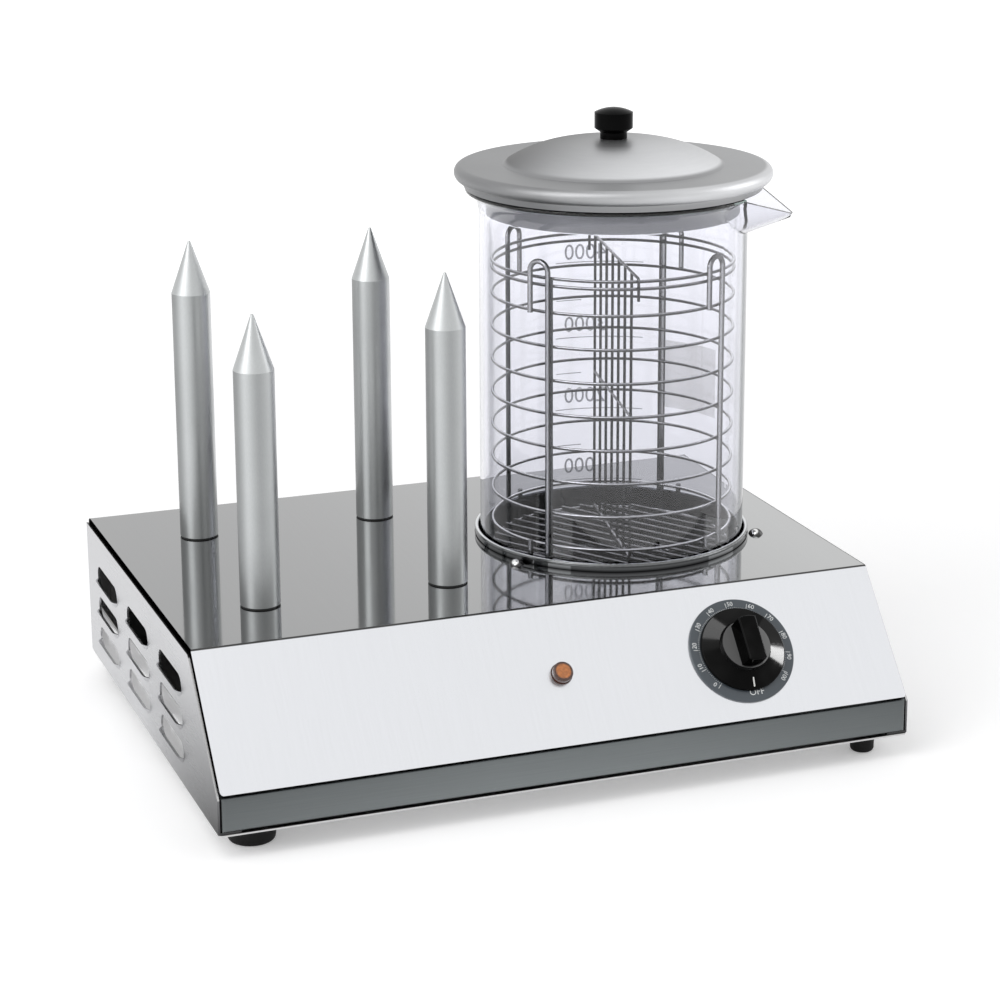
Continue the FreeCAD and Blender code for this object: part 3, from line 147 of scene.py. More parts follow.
def seenByEye(tree):
    # 1 for what the camera sees, also in a mirror or through glass, and 0 for what only lights
    path = addNode(tree, "ShaderNodeLightPath")
    seen = mathNode(tree, "MAXIMUM", path.outputs["Is Camera Ray"], path.outputs["Is Glossy Ray"])
    return mathNode(tree, "MAXIMUM", seen, path.outputs["Is Transmission Ray"])


# ---- shared patterns


def newGroup(name, inputs, outputs):
    group = bpy.data.node_groups.new(name, "ShaderNodeTree")
    for label, kind, value in inputs:
        socket = group.interface.new_socket(name=label, in_out="INPUT", socket_type=kind)
        socket.default_value = value
    for label, kind in outputs:
        group.interface.new_socket(name=label, in_out="OUTPUT", socket_type=kind)
    return group, group.nodes.new("NodeGroupInput"), group.nodes.new("NodeGroupOutput")


def buildBrushedLines():
    # fine lines left by a brushing belt, drawn out along one axis
    group, start, end = newGroup(
        "Brushed Lines",
        [("Stretch", "NodeSocketVector", (1.0, 1.0, 1.0)), ("Contrast", "NodeSocketFloat", 1.0)],
        [("Lines", "NodeSocketFloat")],
    )
    coords = addNode(group, "ShaderNodeTexCoord")
    scaled = addNode(group, "ShaderNodeVectorMath", operation="MULTIPLY")
    group.links.new(coords.outputs["Object"], scaled.inputs[0])
    group.links.new(start.outputs["Stretch"], scaled.inputs[1])
    noise = addNode(group, "ShaderNodeTexNoise")
    noise.inputs["Scale"].default_value = 1.0
    noise.inputs["Detail"].default_value = 4.0
    noise.inputs["Roughness"].default_value = 0.65
    group.links.new(scaled.outputs[0], noise.inputs["Vector"])
    centred = mathNode(group, "SUBTRACT", noise.outputs["Fac"], 0.5)
    strong = mathNode(group, "MULTIPLY", centred, start.outputs["Contrast"])
    lines = mathNode(group, "ADD", strong, 0.5, clamp=True)
    group.links.new(lines, end.inputs["Lines"])
    return group


def buildHandling():
    # broad uneven patches, as left by wiping and handling
    group, start, end = newGroup(
        "Handling Patches",
        [("Size", "NodeSocketFloat", 12.0), ("Strength", "NodeSocketFloat", 0.5)],
        [("Patches", "NodeSocketFloat")],
    )
    coords = addNode(group, "ShaderNodeTexCoord")
    noise = addNode(group, "ShaderNodeTexNoise")
    noise.inputs["Detail"].default_value = 2.0
    group.links.new(coords.outputs["Object"], noise.inputs["Vector"])
    group.links.new(start.outputs["Size"], noise.inputs["Scale"])
    spread = rampNode(group, noise.outputs["Fac"], 0.35, 0.65)
    strong = mathNode(group, "MULTIPLY", spread, start.outputs["Strength"])
    group.links.new(strong, end.inputs["Patches"])
    return group


def buildSpeckle():
    # fine moulded or blasted texture
    group, start, end = newGroup(
        "Fine Speckle",
        [("Grain", "NodeSocketFloat", 1500.0), ("Strength", "NodeSocketFloat", 1.0)],
        [("Speckle", "NodeSocketFloat")],
    )
    coords = addNode(group, "ShaderNodeTexCoord")
    noise = addNode(group, "ShaderNodeTexNoise")
    noise.inputs["Detail"].default_value = 3.0
    group.links.new(coords.outputs["Object"], noise.inputs["Vector"])
    group.links.new(start.outputs["Grain"], noise.inputs["Scale"])
    strong = mathNode(group, "MULTIPLY", noise.outputs["Fac"], start.outputs["Strength"])
    group.links.new(strong, end.inputs["Speckle"])
    return group


groups = {"lines": buildBrushedLines(), "handling": buildHandling(), "speckle": buildSpeckle()}


def useGroup(tree, key, **values):
    node = addNode(tree, "ShaderNodeGroup", node_tree=groups[key])
    for label, value in values.items():
        node.inputs[label].default_value = value
    return node.outputs[0]


# ---- kinds of material


def newMaterial(name, roughness, metallic=0.0, **sockets):
    material = bpy.data.materials.new(name)
    material.use_nodes = True
    tree = material.node_tree
    shader = tree.nodes["Principled BSDF"]
    shader.inputs["Roughness"].default_value = roughness
    shader.inputs["Metallic"].default_value = metallic
    for label, value in sockets.items():
        shader.inputs[label.replace("_", " ")].default_value = value
    return material, tree, shader


def addBump(tree, shader, height, strength, distance=0.0001):
    bump = addNode(tree, "ShaderNodeBump")
    bump.inputs["Strength"].default_value = strength
    bump.inputs["Distance"].default_value = distance
    tree.links.new(height, bump.inputs["Height"])
    tree.links.new(bump.outputs[0], shader.inputs["Normal"])


def roughenBy(tree, shader, roughness, lines, linesShare, patches, patchesShare):
    rough = mathNode(tree, "MULTIPLY_ADD", lines, linesShare, roughness)
    rough = mathNode(tree, "MULTIPLY_ADD", patches, patchesShare, rough)
    tree.links.new(rough, shader.inputs["Roughness"])


def brushedMetal(name, look):
    # one brushed metal: two near colours along the lines, roughness and bump from them
    material, tree, shader = newMaterial(name, look["roughness"], 1.0)
    lines = useGroup(tree, "lines", Stretch=look["stretch"], Contrast=look["contrast"])
    patches = useGroup(tree, "handling", Size=look.get("patchSize", 9.0), Strength=look.get("patches", 0.4))
    color = mixColors(tree, lines, look["dark"], look["light"])
    if "shade" in look:
        color = look["shade"](tree, color)
    tree.links.new(color, shader.inputs["Base Color"])
    spread = look.get("spread", 0.06)
    roughenBy(tree, shader, look["roughness"] - spread / 2, lines, spread, patches, spread)
    if look["bump"]:
        addBump(tree, shader, lines, look["bump"])
    if "tint" in look:
        tree.links.new(look["tint"](tree), shader.inputs["Specular Tint"])
    if "glow" in look:
        tree.links.new(look["glow"](tree), shader.inputs["Emission Color"])
        shader.inputs["Emission Strength"].default_value = 1.0
    return material


def plasticMaterial(name, look):
    sockets = {key: value for key, value in look.items() if key[0].isupper()}
    material, tree, shader = newMaterial(name, look["roughness"], 0.0, **sockets)
    speckle = useGroup(tree, "speckle", Grain=look["grain"], Strength=1.0)
    patches = useGroup(tree, "handling", Size=40.0, Strength=0.6)
    lighter = tuple(min(1.0, part * 1.35 + 0.004) for part in look["color"])
    color = mixColors(tree, patches, look["color"], lighter)
    if "shade" in look:
        color = look["shade"](tree, color)
    tree.links.new(color, shader.inputs["Base Color"])
    rough = mathNode(tree, "MULTIPLY_ADD", patches, 0.08, look["roughness"] - 0.03)
    tree.links.new(rough, shader.inputs["Roughness"])
    addBump(tree, shader, speckle, look["bump"])
    return material


def printMaterial(name, color, roughness, wear, cover=1.0):
    material, tree, shader = newMaterial(name, roughness)
    shader.inputs["Alpha"].default_value = cover
    speckle = useGroup(tree, "speckle", Grain=wear, Strength=1.0)
    worn = rampNode(tree, speckle, 0.25, 0.5, 0.72, 1.0)
    tree.links.new(multiply(tree, color, worn), shader.inputs["Base Color"])
    return material


# ---- finishes of the casing, with their painted light and shade

coverLook = {
    # painted reflection: the top's grey, darker than the slant's, stands in for a dark reflection, and left,
    # right, rise and reach paint it lighter towards the right
    "top": (0.362, 0.366, 0.367),
    "left": 0.82,
    "right": 1.28,
    "rise": 1.6,
    "reach": 0.2,
    "slant": (0.775, 0.787, 0.815),
    "rear": grey(0.50),
    # painted shade: fold and foldWidth darken a line along the bend
    "fold": grey(0.07),
    # painted shade: edge and edgeWidth blacken the cover's side edges at the seam to the side panels
    "edge": grey(0.02),
    "foldWidth": 0.0011,
    "edgeWidth": 0.0004,
    "roughness": 0.045,
    "slantRoughness": 0.24,
    "stretch": (900.0, 22.0, 22.0),
    "contrast": 0.5,
    "lineDark": 0.95,
    "lineLight": 1.05,
    "spread": 0.02,
    "bump": 0.02,
}


def coverMaterial():
    # the top is finely ground and the slanted front is satin; the top's darker grey and lighter right are
    # painted reflection, and a dark line at the bend and black side edges are painted shade
    look = coverLook
    material, tree, shader = newMaterial("coverSteel", look["roughness"], 1.0)
    x, y, z = objectAxes(tree)
    lines = useGroup(tree, "lines", Stretch=look["stretch"], Contrast=look["contrast"])
    patches = useGroup(tree, "handling", Size=7.0, Strength=0.5)
    onTop = rampNode(tree, z, casing["topZ"] - 0.0009, casing["topZ"] - 0.0003)
    onRear = rampNode(tree, y, casing["bendY"] + 0.02, casing["bendY"] + 0.03)
    plain = mixColors(tree, onTop, mixColors(tree, onRear, look["slant"], look["rear"]), look["top"])
    lined = multiply(tree, plain, rampNode(tree, lines, 0.0, 1.0, look["lineDark"], look["lineLight"], False))
    # painted reflection: the top grows lighter towards the right
    across = rampNode(tree, x, -look["reach"], look["reach"], smooth=False)
    across = mathNode(tree, "POWER", across, look["rise"])
    lighter = mathNode(tree, "MULTIPLY_ADD", across, look["right"] - look["left"], look["left"])
    paintedReflectionTop = multiply(tree, lined, mixColors(tree, onTop, grey(1.0), lighter))
    fromBendY = mathNode(tree, "SUBTRACT", y, casing["bendY"])
    fromBendZ = mathNode(tree, "SUBTRACT", z, casing["topZ"])
    fromBend = distanceOf(tree, fromBendY, fromBendZ)
    # painted shade: a dark line along the bend between top and slant
    fold = rampNode(tree, fromBend, look["foldWidth"], look["foldWidth"] * 0.6)
    folded = mixColors(tree, fold, paintedReflectionTop, look["fold"])
    # painted shade: the side edges go black and mirror nothing, where the seam to the side panels lies in
    # shade
    side = mathNode(tree, "ABSOLUTE", x)
    outwards = mathNode(tree, "MULTIPLY_ADD", onTop, look["edgeWidth"], side)
    edge = rampNode(tree, outwards, casing["coverHalf"] - 0.0001, casing["coverHalf"] - 0.00002)
    tree.links.new(mixColors(tree, edge, folded, look["edge"]), shader.inputs["Base Color"])
    tree.links.new(mixColors(tree, edge, grey(1.0), grey(0.0)), shader.inputs["Specular Tint"])
    rough = rampNode(tree, onTop, 0.0, 1.0, look["slantRoughness"], look["roughness"], False)
    roughenBy(tree, shader, rough, lines, look["spread"], patches, look["spread"])
    addBump(tree, shader, lines, look["bump"])
    return material


sideLook = {
    "lowZ": 0.015,
    "highZ": 0.100,
    "frontY": -0.17,
    "backY": 0.02,
    # painted shade: corner darkens the low front corner, and cornerMirror darkens what it mirrors there
    "corner": 0.08,
    "cornerMirror": grey(0.58),
    # painted shade: slantEdge and topEdge colour the seam along the panels' top edges
    "slantEdge": grey(0.50),
    "topEdge": grey(0.02),
    "topEdgeDepth": 0.0050,
}


def lowFront(tree):
    # 1 at the low front corner of a side panel, 0 at its back and its top
    look = sideLook
    x, y, z = objectAxes(tree)
    height = rampNode(tree, z, look["lowZ"], look["highZ"], 1.0, 0.0, False)
    depth = rampNode(tree, y, look["frontY"], look["backY"], 1.0, 0.0, False)
    return mathNode(tree, "MULTIPLY", height, depth)


def sideReflectionShade(tree):
    # painted reflection: what the panel mirrors at a low angle is darkened in that corner as well
    return mixColors(tree, lowFront(tree), grey(1.0), sideLook["cornerMirror"])


def sideShade(tree, color):
    # painted shade: the side panels grow darker towards the floor and the front, and their top edges are
    # painted dark where the seam to the cover lies in shade, grey along the slant
    look = sideLook
    x, y, z = objectAxes(tree)
    shaded = multiply(tree, color, mathNode(tree, "MULTIPLY_ADD", lowFront(tree), look["corner"] - 1.0, 1.0))
    fromTop = mathNode(tree, "SUBTRACT", z, casing["topZ"])
    highest = mathNode(tree, "MAXIMUM", aboveSlant(tree, y, z), fromTop)
    # painted shade: the dark line in the seam to the cover
    seamShade = rampNode(tree, highest, -casing["sideDrop"] - 0.0004, -casing["sideDrop"] - 0.0001)
    topEdgeZ = casing["topZ"] - look["topEdgeDepth"]
    onTop = rampNode(tree, z, topEdgeZ, topEdgeZ + 0.0008)
    return mixColors(tree, seamShade, shaded, mixColors(tree, onTop, look["slantEdge"], look["topEdge"]))


bandLook = {
    # painted shade: middle, ends, foot and top darken the band towards its ends and its top
    "middle": 1.08,
    "ends": 0.8,
    "middleX": 0.05,
    "endX": 0.2155,
    "foot": 1.12,
    "top": 0.88,
    "footZ": 0.017,
    "topZ": 0.038,
    "trayX": 0.2110,
    "trayY": -0.1505,
    # painted light: tray and trayGlow light up the walls behind the louvres
    "tray": grey(0.75),
    "trayGlow": grey(0.26),
}


def behindLouvres(tree):
    # the upright walls of the base frame that stand right behind the side panels
    x, y, z = objectAxes(tree)
    behind = rampNode(tree, y, bandLook["trayY"], bandLook["trayY"] + 0.0005)
    outside = rampNode(tree, mathNode(tree, "ABSOLUTE", x), bandLook["trayX"], bandLook["trayX"] + 0.0005)
    return mathNode(tree, "MULTIPLY", behind, outside)


def trayGlow(tree):
    # painted light: a glow on those walls stands in for the light that falls through the louvres
    return mixColors(tree, behindLouvres(tree), grey(0.0), bandLook["trayGlow"])


def bandShade(tree, color):
    # painted shade: the band is a little darker at its ends and its top; painted light: the walls behind the
    # louvres are light
    look = bandLook
    x, y, z = objectAxes(tree)
    side = mathNode(tree, "ABSOLUTE", x)
    along = rampNode(tree, side, look["middleX"], look["endX"], look["middle"], look["ends"], False)
    height = rampNode(tree, z, look["footZ"], look["topZ"], look["foot"], look["top"], False)
    shaded = multiply(tree, color, mathNode(tree, "MULTIPLY", along, height))
    return mixColors(tree, behindLouvres(tree), shaded, look["tray"])


# ---- finishes of the spikes, the lid, the well and the wires, with their painted light and shade

# painted reflection: light and dark stripes across each rod, and an even grey on its point
rodShine = {
    "turn": -21.2,
    "stops": [(0.0, 0.24), (0.18, 0.36), (0.34, 0.66), (0.60, 0.30), (0.80, 0.45), (0.95, 0.66)],
    "point": grey(0.60),
    "tint": (0.965, 0.995, 1.0),
    "pointShare": 0.75,
}


def rodShade(tree, color):
    # painted reflection: a brushed rod gets light and dark stripes along its length from the way it faces,
    # and its point an even grey
    look = rodShine
    turn = math.radians(look["turn"])
    across = normalAlong(tree, (math.cos(turn), math.sin(turn), 0.0))
    ramp = addNode(tree, "ShaderNodeValToRGB")
    ramp.color_ramp.interpolation = "B_SPLINE"
    marks = ramp.color_ramp.elements
    while len(marks) < len(look["stops"]):
        marks.new(0.5)
    for mark, (position, value) in zip(marks, look["stops"]):
        mark.position = position
        mark.color = (*grey(value), 1.0)
    tree.links.new(mathNode(tree, "MULTIPLY_ADD", across, 0.5, 0.5), ramp.inputs[0])
    onPoint = rampNode(tree, normalAlong(tree, (0.0, 0.0, 1.0)), 0.08, 0.20, 0.0, look["pointShare"])
    shade = mixColors(tree, onPoint, ramp.outputs[0], look["point"])
    return multiply(tree, multiply(tree, color, look["tint"]), shade)


# painted light and shade of the dome, brim and roll: how light in the middle, and how much lighter each metre
# right and front
lidShine = {
    "dome": (0.66, 8.5, 9.0),
    "brim": (0.59, 0.9, 0.0),
    "roll": (0.87, 8.0, 0.0),
    "rollLeast": 0.50,
    "rollMost": 1.20,
    "footRadius": 0.0690,
    "domeRadius": 0.0660,
    "rollFrom": 0.0945,
    "rollTo": 0.0975,
}


def lidShade(tree, color):
    # painted light: the lid grows lighter towards the right and the front, most of all on its dome
    look = lidShine
    x, y, z = objectAxes(tree)
    fromX, fromY, reach = fromJarAxis(tree, x, y)

    def along(direction):
        first = mathNode(tree, "MULTIPLY", fromX, direction[0])
        return mathNode(tree, "MULTIPLY_ADD", fromY, direction[1], first)

    right = along(pictureRight)
    front = along(pictureFront)

    def slope(part):
        level, toRight, toFront = look[part]
        tilted = mathNode(tree, "MULTIPLY_ADD", right, toRight, level)
        return mathNode(tree, "MULTIPLY_ADD", front, toFront, tilted)

    onDome = rampNode(tree, reach, look["footRadius"], look["domeRadius"])
    onRoll = rampNode(tree, reach, look["rollFrom"], look["rollTo"])
    shade = mixColors(tree, onDome, slope("brim"), slope("dome"))
    roll = mathNode(tree, "MAXIMUM", slope("roll"), look["rollLeast"])
    roll = mathNode(tree, "MINIMUM", roll, look["rollMost"])
    return multiply(tree, color, mixColors(tree, onRoll, shade, roll))


# where the light stands whose painted reflection each round part gets
fromAbove = (-0.20, -0.35, 0.90)
fromFront = (-0.62, -0.78, 0.10)
fromLeft = (-0.35, -0.45, 0.82)
fromBehind = (-0.1, 0.1, 0.98)
roundShine = {
    "wire": {"light": fromAbove, "darkUpTo": 0.62, "brightFrom": 0.96, "darkest": 0.13, "brightest": 1.65},
    "post": {"light": fromFront, "darkUpTo": 0.72, "brightFrom": 1.0, "darkest": 0.13, "brightest": 0.80},
    "divider": {"light": fromAbove, "darkUpTo": 0.40, "brightFrom": 0.90, "darkest": 0.06, "brightest": 0.70},
    "floor": {"light": fromAbove, "darkUpTo": 0.60, "brightFrom": 0.98, "darkest": 0.10, "brightest": 0.60},
    "screw": {"light": fromLeft, "darkUpTo": 0.85, "brightFrom": 0.94, "darkest": 0.12, "brightest": 1.4},
    "lip": {"light": fromBehind, "darkUpTo": 0.70, "brightFrom": 0.96, "darkest": 0.40, "brightest": 1.7},
}


def paintedShine(tree, color, part):
    # painted reflection: a round bright part is painted bright on the side towards one light and dark
    # everywhere else
    look = roundShine[part]
    along = normalAlong(tree, Vector(look["light"]).normalized())
    shade = rampNode(tree, along, look["darkUpTo"], look["brightFrom"], look["darkest"], look["brightest"])
    return multiply(tree, color, shade)


def shine(part):
    return lambda tree, color: paintedShine(tree, color, part)


# painted shade: well darkens the bowl below its lip
bowlLook = {"wellZ": 0.1070, "lipZ": 0.1092, "well": 0.16}


def bowlShade(tree, color):
    # painted highlight and shade: only the crown of the rolled lip is bright, and the well below it darkens
    # quickly
    x, y, z = objectAxes(tree)
    lip = rampNode(tree, z, bowlLook["wellZ"], bowlLook["lipZ"], bowlLook["well"], 1.0)
    return paintedShine(tree, multiply(tree, color, lip), "lip")


def wireLook(part):
    # one drawn wire, which gets a different painted reflection in each part of the basket
    return {
        "dark": grey(0.50), "light": grey(0.66), "stretch": (160.0, 160.0, 160.0),
        "contrast": 1.0, "roughness": 0.14, "bump": 0.0, "shade": shine(part),
    }


metalLooks = {
    "sideSteel": {
        "dark": (0.485, 0.488, 0.500), "light": (0.545, 0.548, 0.562), "stretch": (30.0, 30.0, 1100.0),
        "contrast": 1.0, "roughness": 0.26, "bump": 0.05, "shade": sideShade, "tint": sideReflectionShade,
    },
    "bandSteel": {
        # the band's low grey is a painted dark reflection
        "dark": (0.145, 0.159, 0.162), "light": (0.188, 0.202, 0.205), "stretch": (14.0, 30.0, 1400.0),
        "contrast": 1.1, "roughness": 0.34, "bump": 0.06, "shade": bandShade, "glow": trayGlow,
    },
    "plateSteel": {
        "dark": grey(0.52), "light": grey(0.62), "stretch": (16.0, 16.0, 900.0),
        "contrast": 0.9, "roughness": 0.30, "bump": 0.05,
    },
    "bowlSteel": {
        "dark": (0.370, 0.380, 0.390), "light": (0.420, 0.430, 0.440), "stretch": (30.0, 30.0, 300.0),
        "contrast": 0.5, "roughness": 0.03, "bump": 0.0, "spread": 0.01, "shade": bowlShade,
    },
    "screwSteel": {
        "dark": grey(0.52), "light": grey(0.64), "stretch": (400.0, 400.0, 400.0),
        "contrast": 0.8, "roughness": 0.12, "bump": 0.05, "shade": shine("screw"),
    },
    "elementSteel": {
        "dark": (0.20, 0.18, 0.17), "light": (0.36, 0.32, 0.28), "stretch": (120.0, 120.0, 120.0),
        "contrast": 1.0, "roughness": 0.42, "bump": 0.10,
    },
    "plainAluminium": {
        "dark": grey(0.62), "light": grey(0.72), "stretch": (200.0, 200.0, 200.0),
        "contrast": 0.8, "roughness": 0.35, "bump": 0.06,
    },
    "copperTube": {
        "dark": (0.55, 0.26, 0.16), "light": (0.72, 0.38, 0.25), "stretch": (90.0, 90.0, 90.0),
        "contrast": 1.0, "roughness": 0.28, "bump": 0.05,
    },
    "brassScrew": {
        "dark": (0.58, 0.42, 0.18), "light": (0.72, 0.55, 0.27), "stretch": (300.0, 300.0, 300.0),
        "contrast": 0.9, "roughness": 0.30, "bump": 0.05,
    },
    "basketWire": wireLook("wire"),
    "postWire": wireLook("post"),
    "dividerWire": wireLook("divider"),
    "floorWire": wireLook("floor"),
    "spikeAluminium": {
        "dark": grey(0.86), "light": grey(1.0), "stretch": (1500.0, 1500.0, 400.0), "contrast": 1.3,
        "roughness": 0.34, "bump": 0.06, "patches": 0.9, "patchSize": 26.0, "spread": 0.10, "shade": rodShade,
    },
    "lidAluminium": {
        "dark": (0.455, 0.460, 0.470), "light": (0.535, 0.540, 0.550), "stretch": (60.0, 60.0, 1200.0),
        "contrast": 0.8, "roughness": 0.40, "bump": 0.03, "patches": 0.5, "shade": lidShade,
    },
}


# ---- finishes of the plastic pieces, with a painted sheen on the knob's hub

# painted sheen: face is the lighter grey of the hub's flat face
hubLook = {"lowest": 0.0103, "highest": 0.0109, "soft": 0.0002, "face": grey(0.060)}


def hubPaintedSheen(tree, color):
    # painted sheen: the flat face of the knob's hub is painted a lighter grey that stands in for its
    # reflection
    look = hubLook
    x, y, z = objectAxes(tree)
    above = aboveSlant(tree, y, z)
    over = rampNode(tree, above, look["lowest"], look["lowest"] + look["soft"])
    under = rampNode(tree, above, look["highest"], look["highest"] - look["soft"])
    return mixColors(tree, mathNode(tree, "MULTIPLY", over, under), color, look["face"])


plasticLooks = {
    "footRubber": {
        "color": grey(0.005), "roughness": 0.6, "grain": 1800.0, "bump": 0.30, "Specular_IOR_Level": 0.2,
    },
    "gasketRubber": {"color": grey(0.010), "roughness": 0.5, "grain": 1500.0, "bump": 0.2},
    "lidKnobBlack": {
        "color": grey(0.001), "roughness": 0.20, "grain": 1400.0, "bump": 0.08, "Specular_IOR_Level": 0.04,
    },
    "knobBlack": {
        "color": grey(0.001), "roughness": 0.10, "grain": 900.0, "bump": 0.01, "Specular_IOR_Level": 0.05,
        "shade": hubPaintedSheen,
    },
    "housingPlastic": {"color": grey(0.03), "roughness": 0.45, "grain": 1500.0, "bump": 0.2},
    "glandBlack": {"color": grey(0.012), "roughness": 0.45, "grain": 1500.0, "bump": 0.2},
    "blockPlastic": {"color": (0.70, 0.67, 0.58), "roughness": 0.5, "grain": 1200.0, "bump": 0.15},
    "leadSleeve": {"color": (0.62, 0.58, 0.50), "roughness": 0.8, "grain": 2500.0, "bump": 0.5},
}


# ---- finishes of the dial, the jar and the pilot lamp, with painted dark reflection on the jar

dialLook = {
    "x": 0.1170,
    "down": 0.0454,
    "thickness": 0.0016,
    "plate": (0.058, 0.070, 0.082),
    "print": (0.78, 0.80, 0.80),
    "numbers": ["0", "10", "20", "30", "40", "50", "60", "70", "80", "90", "100"],
    "firstTick": 44.5,
    "tickPitch": 26.2,
    "numberTurn": 5.6,
    "numberRadius": 0.0302,
    "numberHeight": 0.0028,
    "tickFrom": 0.0282,
    "tickTo": 0.0312,
    "tickWidth": 0.00035,
    "fineFrom": 0.0272,
    "fineTo": 0.0280,
    "fineCount": 101,
    "fineWidth": 0.00022,
    "offX": 0.0019,
    "offRadius": 0.0278,
    "offHeight": 0.0039,
    "lift": 0.00006,
}


def dialMaterial():
    # dark anodised plate with a fine blasted grain
    material, tree, shader = newMaterial("dialPlate", 0.32, 0.0, Coat_Weight=0.15)
    speckle = useGroup(tree, "speckle", Grain=2200.0, Strength=1.0)
    darker, lighter = (tuple(part * share for part in dialLook["plate"]) for share in (0.8, 1.2))
    tree.links.new(mixColors(tree, speckle, darker, lighter), shader.inputs["Base Color"])
    addBump(tree, shader, speckle, 0.08)
    return material


jarLook = {
    "x": 0.0955,
    "y": 0.0175,
    "radius": 0.085,
    "wall": 0.0026,
    "rimLowZ": 0.3312,
    "rimZ": 0.3330,
    "clear": (0.875, 0.878, 0.920),
    # painted reflection: edge, shoulder and line darken the glass towards its outline
    "edge": (0.35, 0.37, 0.40),
    "shoulder": (0.60, 0.61, 0.64),
    "line": (0.03, 0.035, 0.04),
    "rim": (0.28, 0.46, 0.38),
    "ior": 1.47,
}


def glassMaterial():
    # clear glass with a green rim, painted darker towards its outline and most of all on the right, as dark
    # reflection
    look = jarLook
    material, tree, shader = newMaterial("jarGlass", 0.0, 0.0, IOR=look["ior"], Transmission_Weight=1.0)
    x, y, z = objectAxes(tree)
    speckle = useGroup(tree, "speckle", Grain=60.0, Strength=1.0)
    rim = rampNode(tree, z, look["rimLowZ"], look["rimZ"])
    clear = mixColors(tree, speckle, tuple(part * 0.995 for part in look["clear"]), look["clear"])
    facing = addNode(tree, "ShaderNodeLayerWeight")
    facing.inputs["Blend"].default_value = 0.5
    onRight = rampNode(tree, normalAlong(tree, (*pictureRight, 0.0)), 0.2, 0.6)
    reach = fromJarAxis(tree, x, y)[2]
    outside = rampNode(tree, reach, look["radius"] - look["wall"] * 0.6, look["radius"] - look["wall"] * 0.3)
    steps = [("edge", 0.82, 0.93, None), ("shoulder", 0.60, 0.65, onRight), ("line", 0.70, 0.78, onRight)]
    for part, low, high, mask in steps:
        share = mathNode(tree, "MULTIPLY", rampNode(tree, facing.outputs["Facing"], low, high), outside)
        if mask:
            share = mathNode(tree, "MULTIPLY", share, mask)
        clear = mixColors(tree, share, clear, look[part])
    tree.links.new(mixColors(tree, rim, clear, look["rim"]), shader.inputs["Base Color"])
    return material


lensLook = {
    "x": 0.0,
    "down": 0.0447,
    "rim": (0.07, 0.018, 0.006),
    "heart": (0.62, 0.20, 0.04),
    "heartRadius": 0.0052,
}


def lensMaterial():
    # amber plastic, darker at its rim and uneven inside
    look = lensLook
    sockets = {"Coat_Weight": 0.6, "Transmission_Weight": 0.25, "IOR": 1.49}
    material, tree, shader = newMaterial("lensAmber", 0.12, 0.0, **sockets)
    coords = addNode(tree, "ShaderNodeTexCoord")
    offset = addNode(tree, "ShaderNodeVectorMath", operation="SUBTRACT")
    offset.inputs[1].default_value = panelMatrix(look["x"], look["down"]).translation
    tree.links.new(coords.outputs["Object"], offset.inputs[0])
    along = addNode(tree, "ShaderNodeVectorMath", operation="CROSS_PRODUCT")
    along.inputs[1].default_value = (0.0, -math.sin(tilt), math.cos(tilt))
    tree.links.new(offset.outputs[0], along.inputs[0])
    length = addNode(tree, "ShaderNodeVectorMath", operation="LENGTH")
    tree.links.new(along.outputs[0], length.inputs[0])
    heart = rampNode(tree, length.outputs["Value"], look["heartRadius"], look["heartRadius"] * 0.75)
    speckle = useGroup(tree, "speckle", Grain=500.0, Strength=1.0)
    base = mixColors(tree, heart, look["rim"], look["heart"])
    shade = rampNode(tree, speckle, 0.3, 0.7, 0.75, 1.15)
    tree.links.new(multiply(tree, base, shade), shader.inputs["Base Color"])
    addBump(tree, shader, speckle, 0.15, 0.0002)
    return material


# ---- which piece has which finish

materials = {
    "coverSteel": coverMaterial(),
    "dialPlate": dialMaterial(),
    "jarGlass": glassMaterial(),
    "lensAmber": lensMaterial(),
}
for name, look in metalLooks.items():
    materials[name] = brushedMetal(name, look)
for name, look in plasticLooks.items():
    materials[name] = plasticMaterial(name, look)

# every piece that isn't listed is bright steel, as the screws are
piecesOf = {
    "coverSteel": ["cover"],
    "sideSteel": ["side_panel_left", "side_panel_right"],
    "bandSteel": ["base_frame"],
    "plateSteel": ["bottom_plate", "rear_panel"],
    "bowlSteel": ["heating_bowl"],
    "plainAluminium": ["heat_spreader"],
    "elementSteel": ["heating_element", "element_clamp", "cartridge_heaters"],
    "copperTube": ["thermostat_bulb", "capillary"],
    "brassScrew": ["terminal_screws", "earth_stud"],
    "jarGlass": ["glass_jar"],
    "lidAluminium": ["lid"],
    "lidKnobBlack": ["lid_knob"],
    "basketWire": ["basket_rings", "basket_uprights"],
    "postWire": ["basket_posts"],
    "dividerWire": ["basket_divider"],
    "floorWire": ["basket_floor"],
    "spikeAluminium": ["spike_front_left", "spike_front_right", "spike_rear_left", "spike_rear_right"],
    "gasketRubber": ["spike_gaskets"],
    "footRubber": ["foot_front_left", "foot_front_right", "foot_rear_left", "foot_rear_right"],
    "dialPlate": ["dial_ring"],
    "knobBlack": ["thermostat_knob"],
    "lensAmber": ["pilot_lens"],
    "housingPlastic": ["thermostat_body", "pilot_lamp_body"],
    "glandBlack": ["cable_gland", "gland_nut"],
    "blockPlastic": ["terminal_block"],
    "leadSleeve": ["wiring"],
}
finishOf = {piece: finish for finish, pieces in piecesOf.items() for piece in pieces}
for name, piece in cadNodes.items():
    material = materials[finishOf.get(name, "screwSteel")]
    if not piece.material_slots:
        piece.data.materials.append(material)
    for slot in piece.material_slots:
        slot.material = material
print("finishes placed:", len(materials))


# ---- helpers for printed marks


def deselectAll():
    if bpy.context.object and bpy.context.object.mode != "OBJECT":
        bpy.ops.object.mode_set(mode="OBJECT")
    bpy.ops.object.select_all(action="DESELECT")


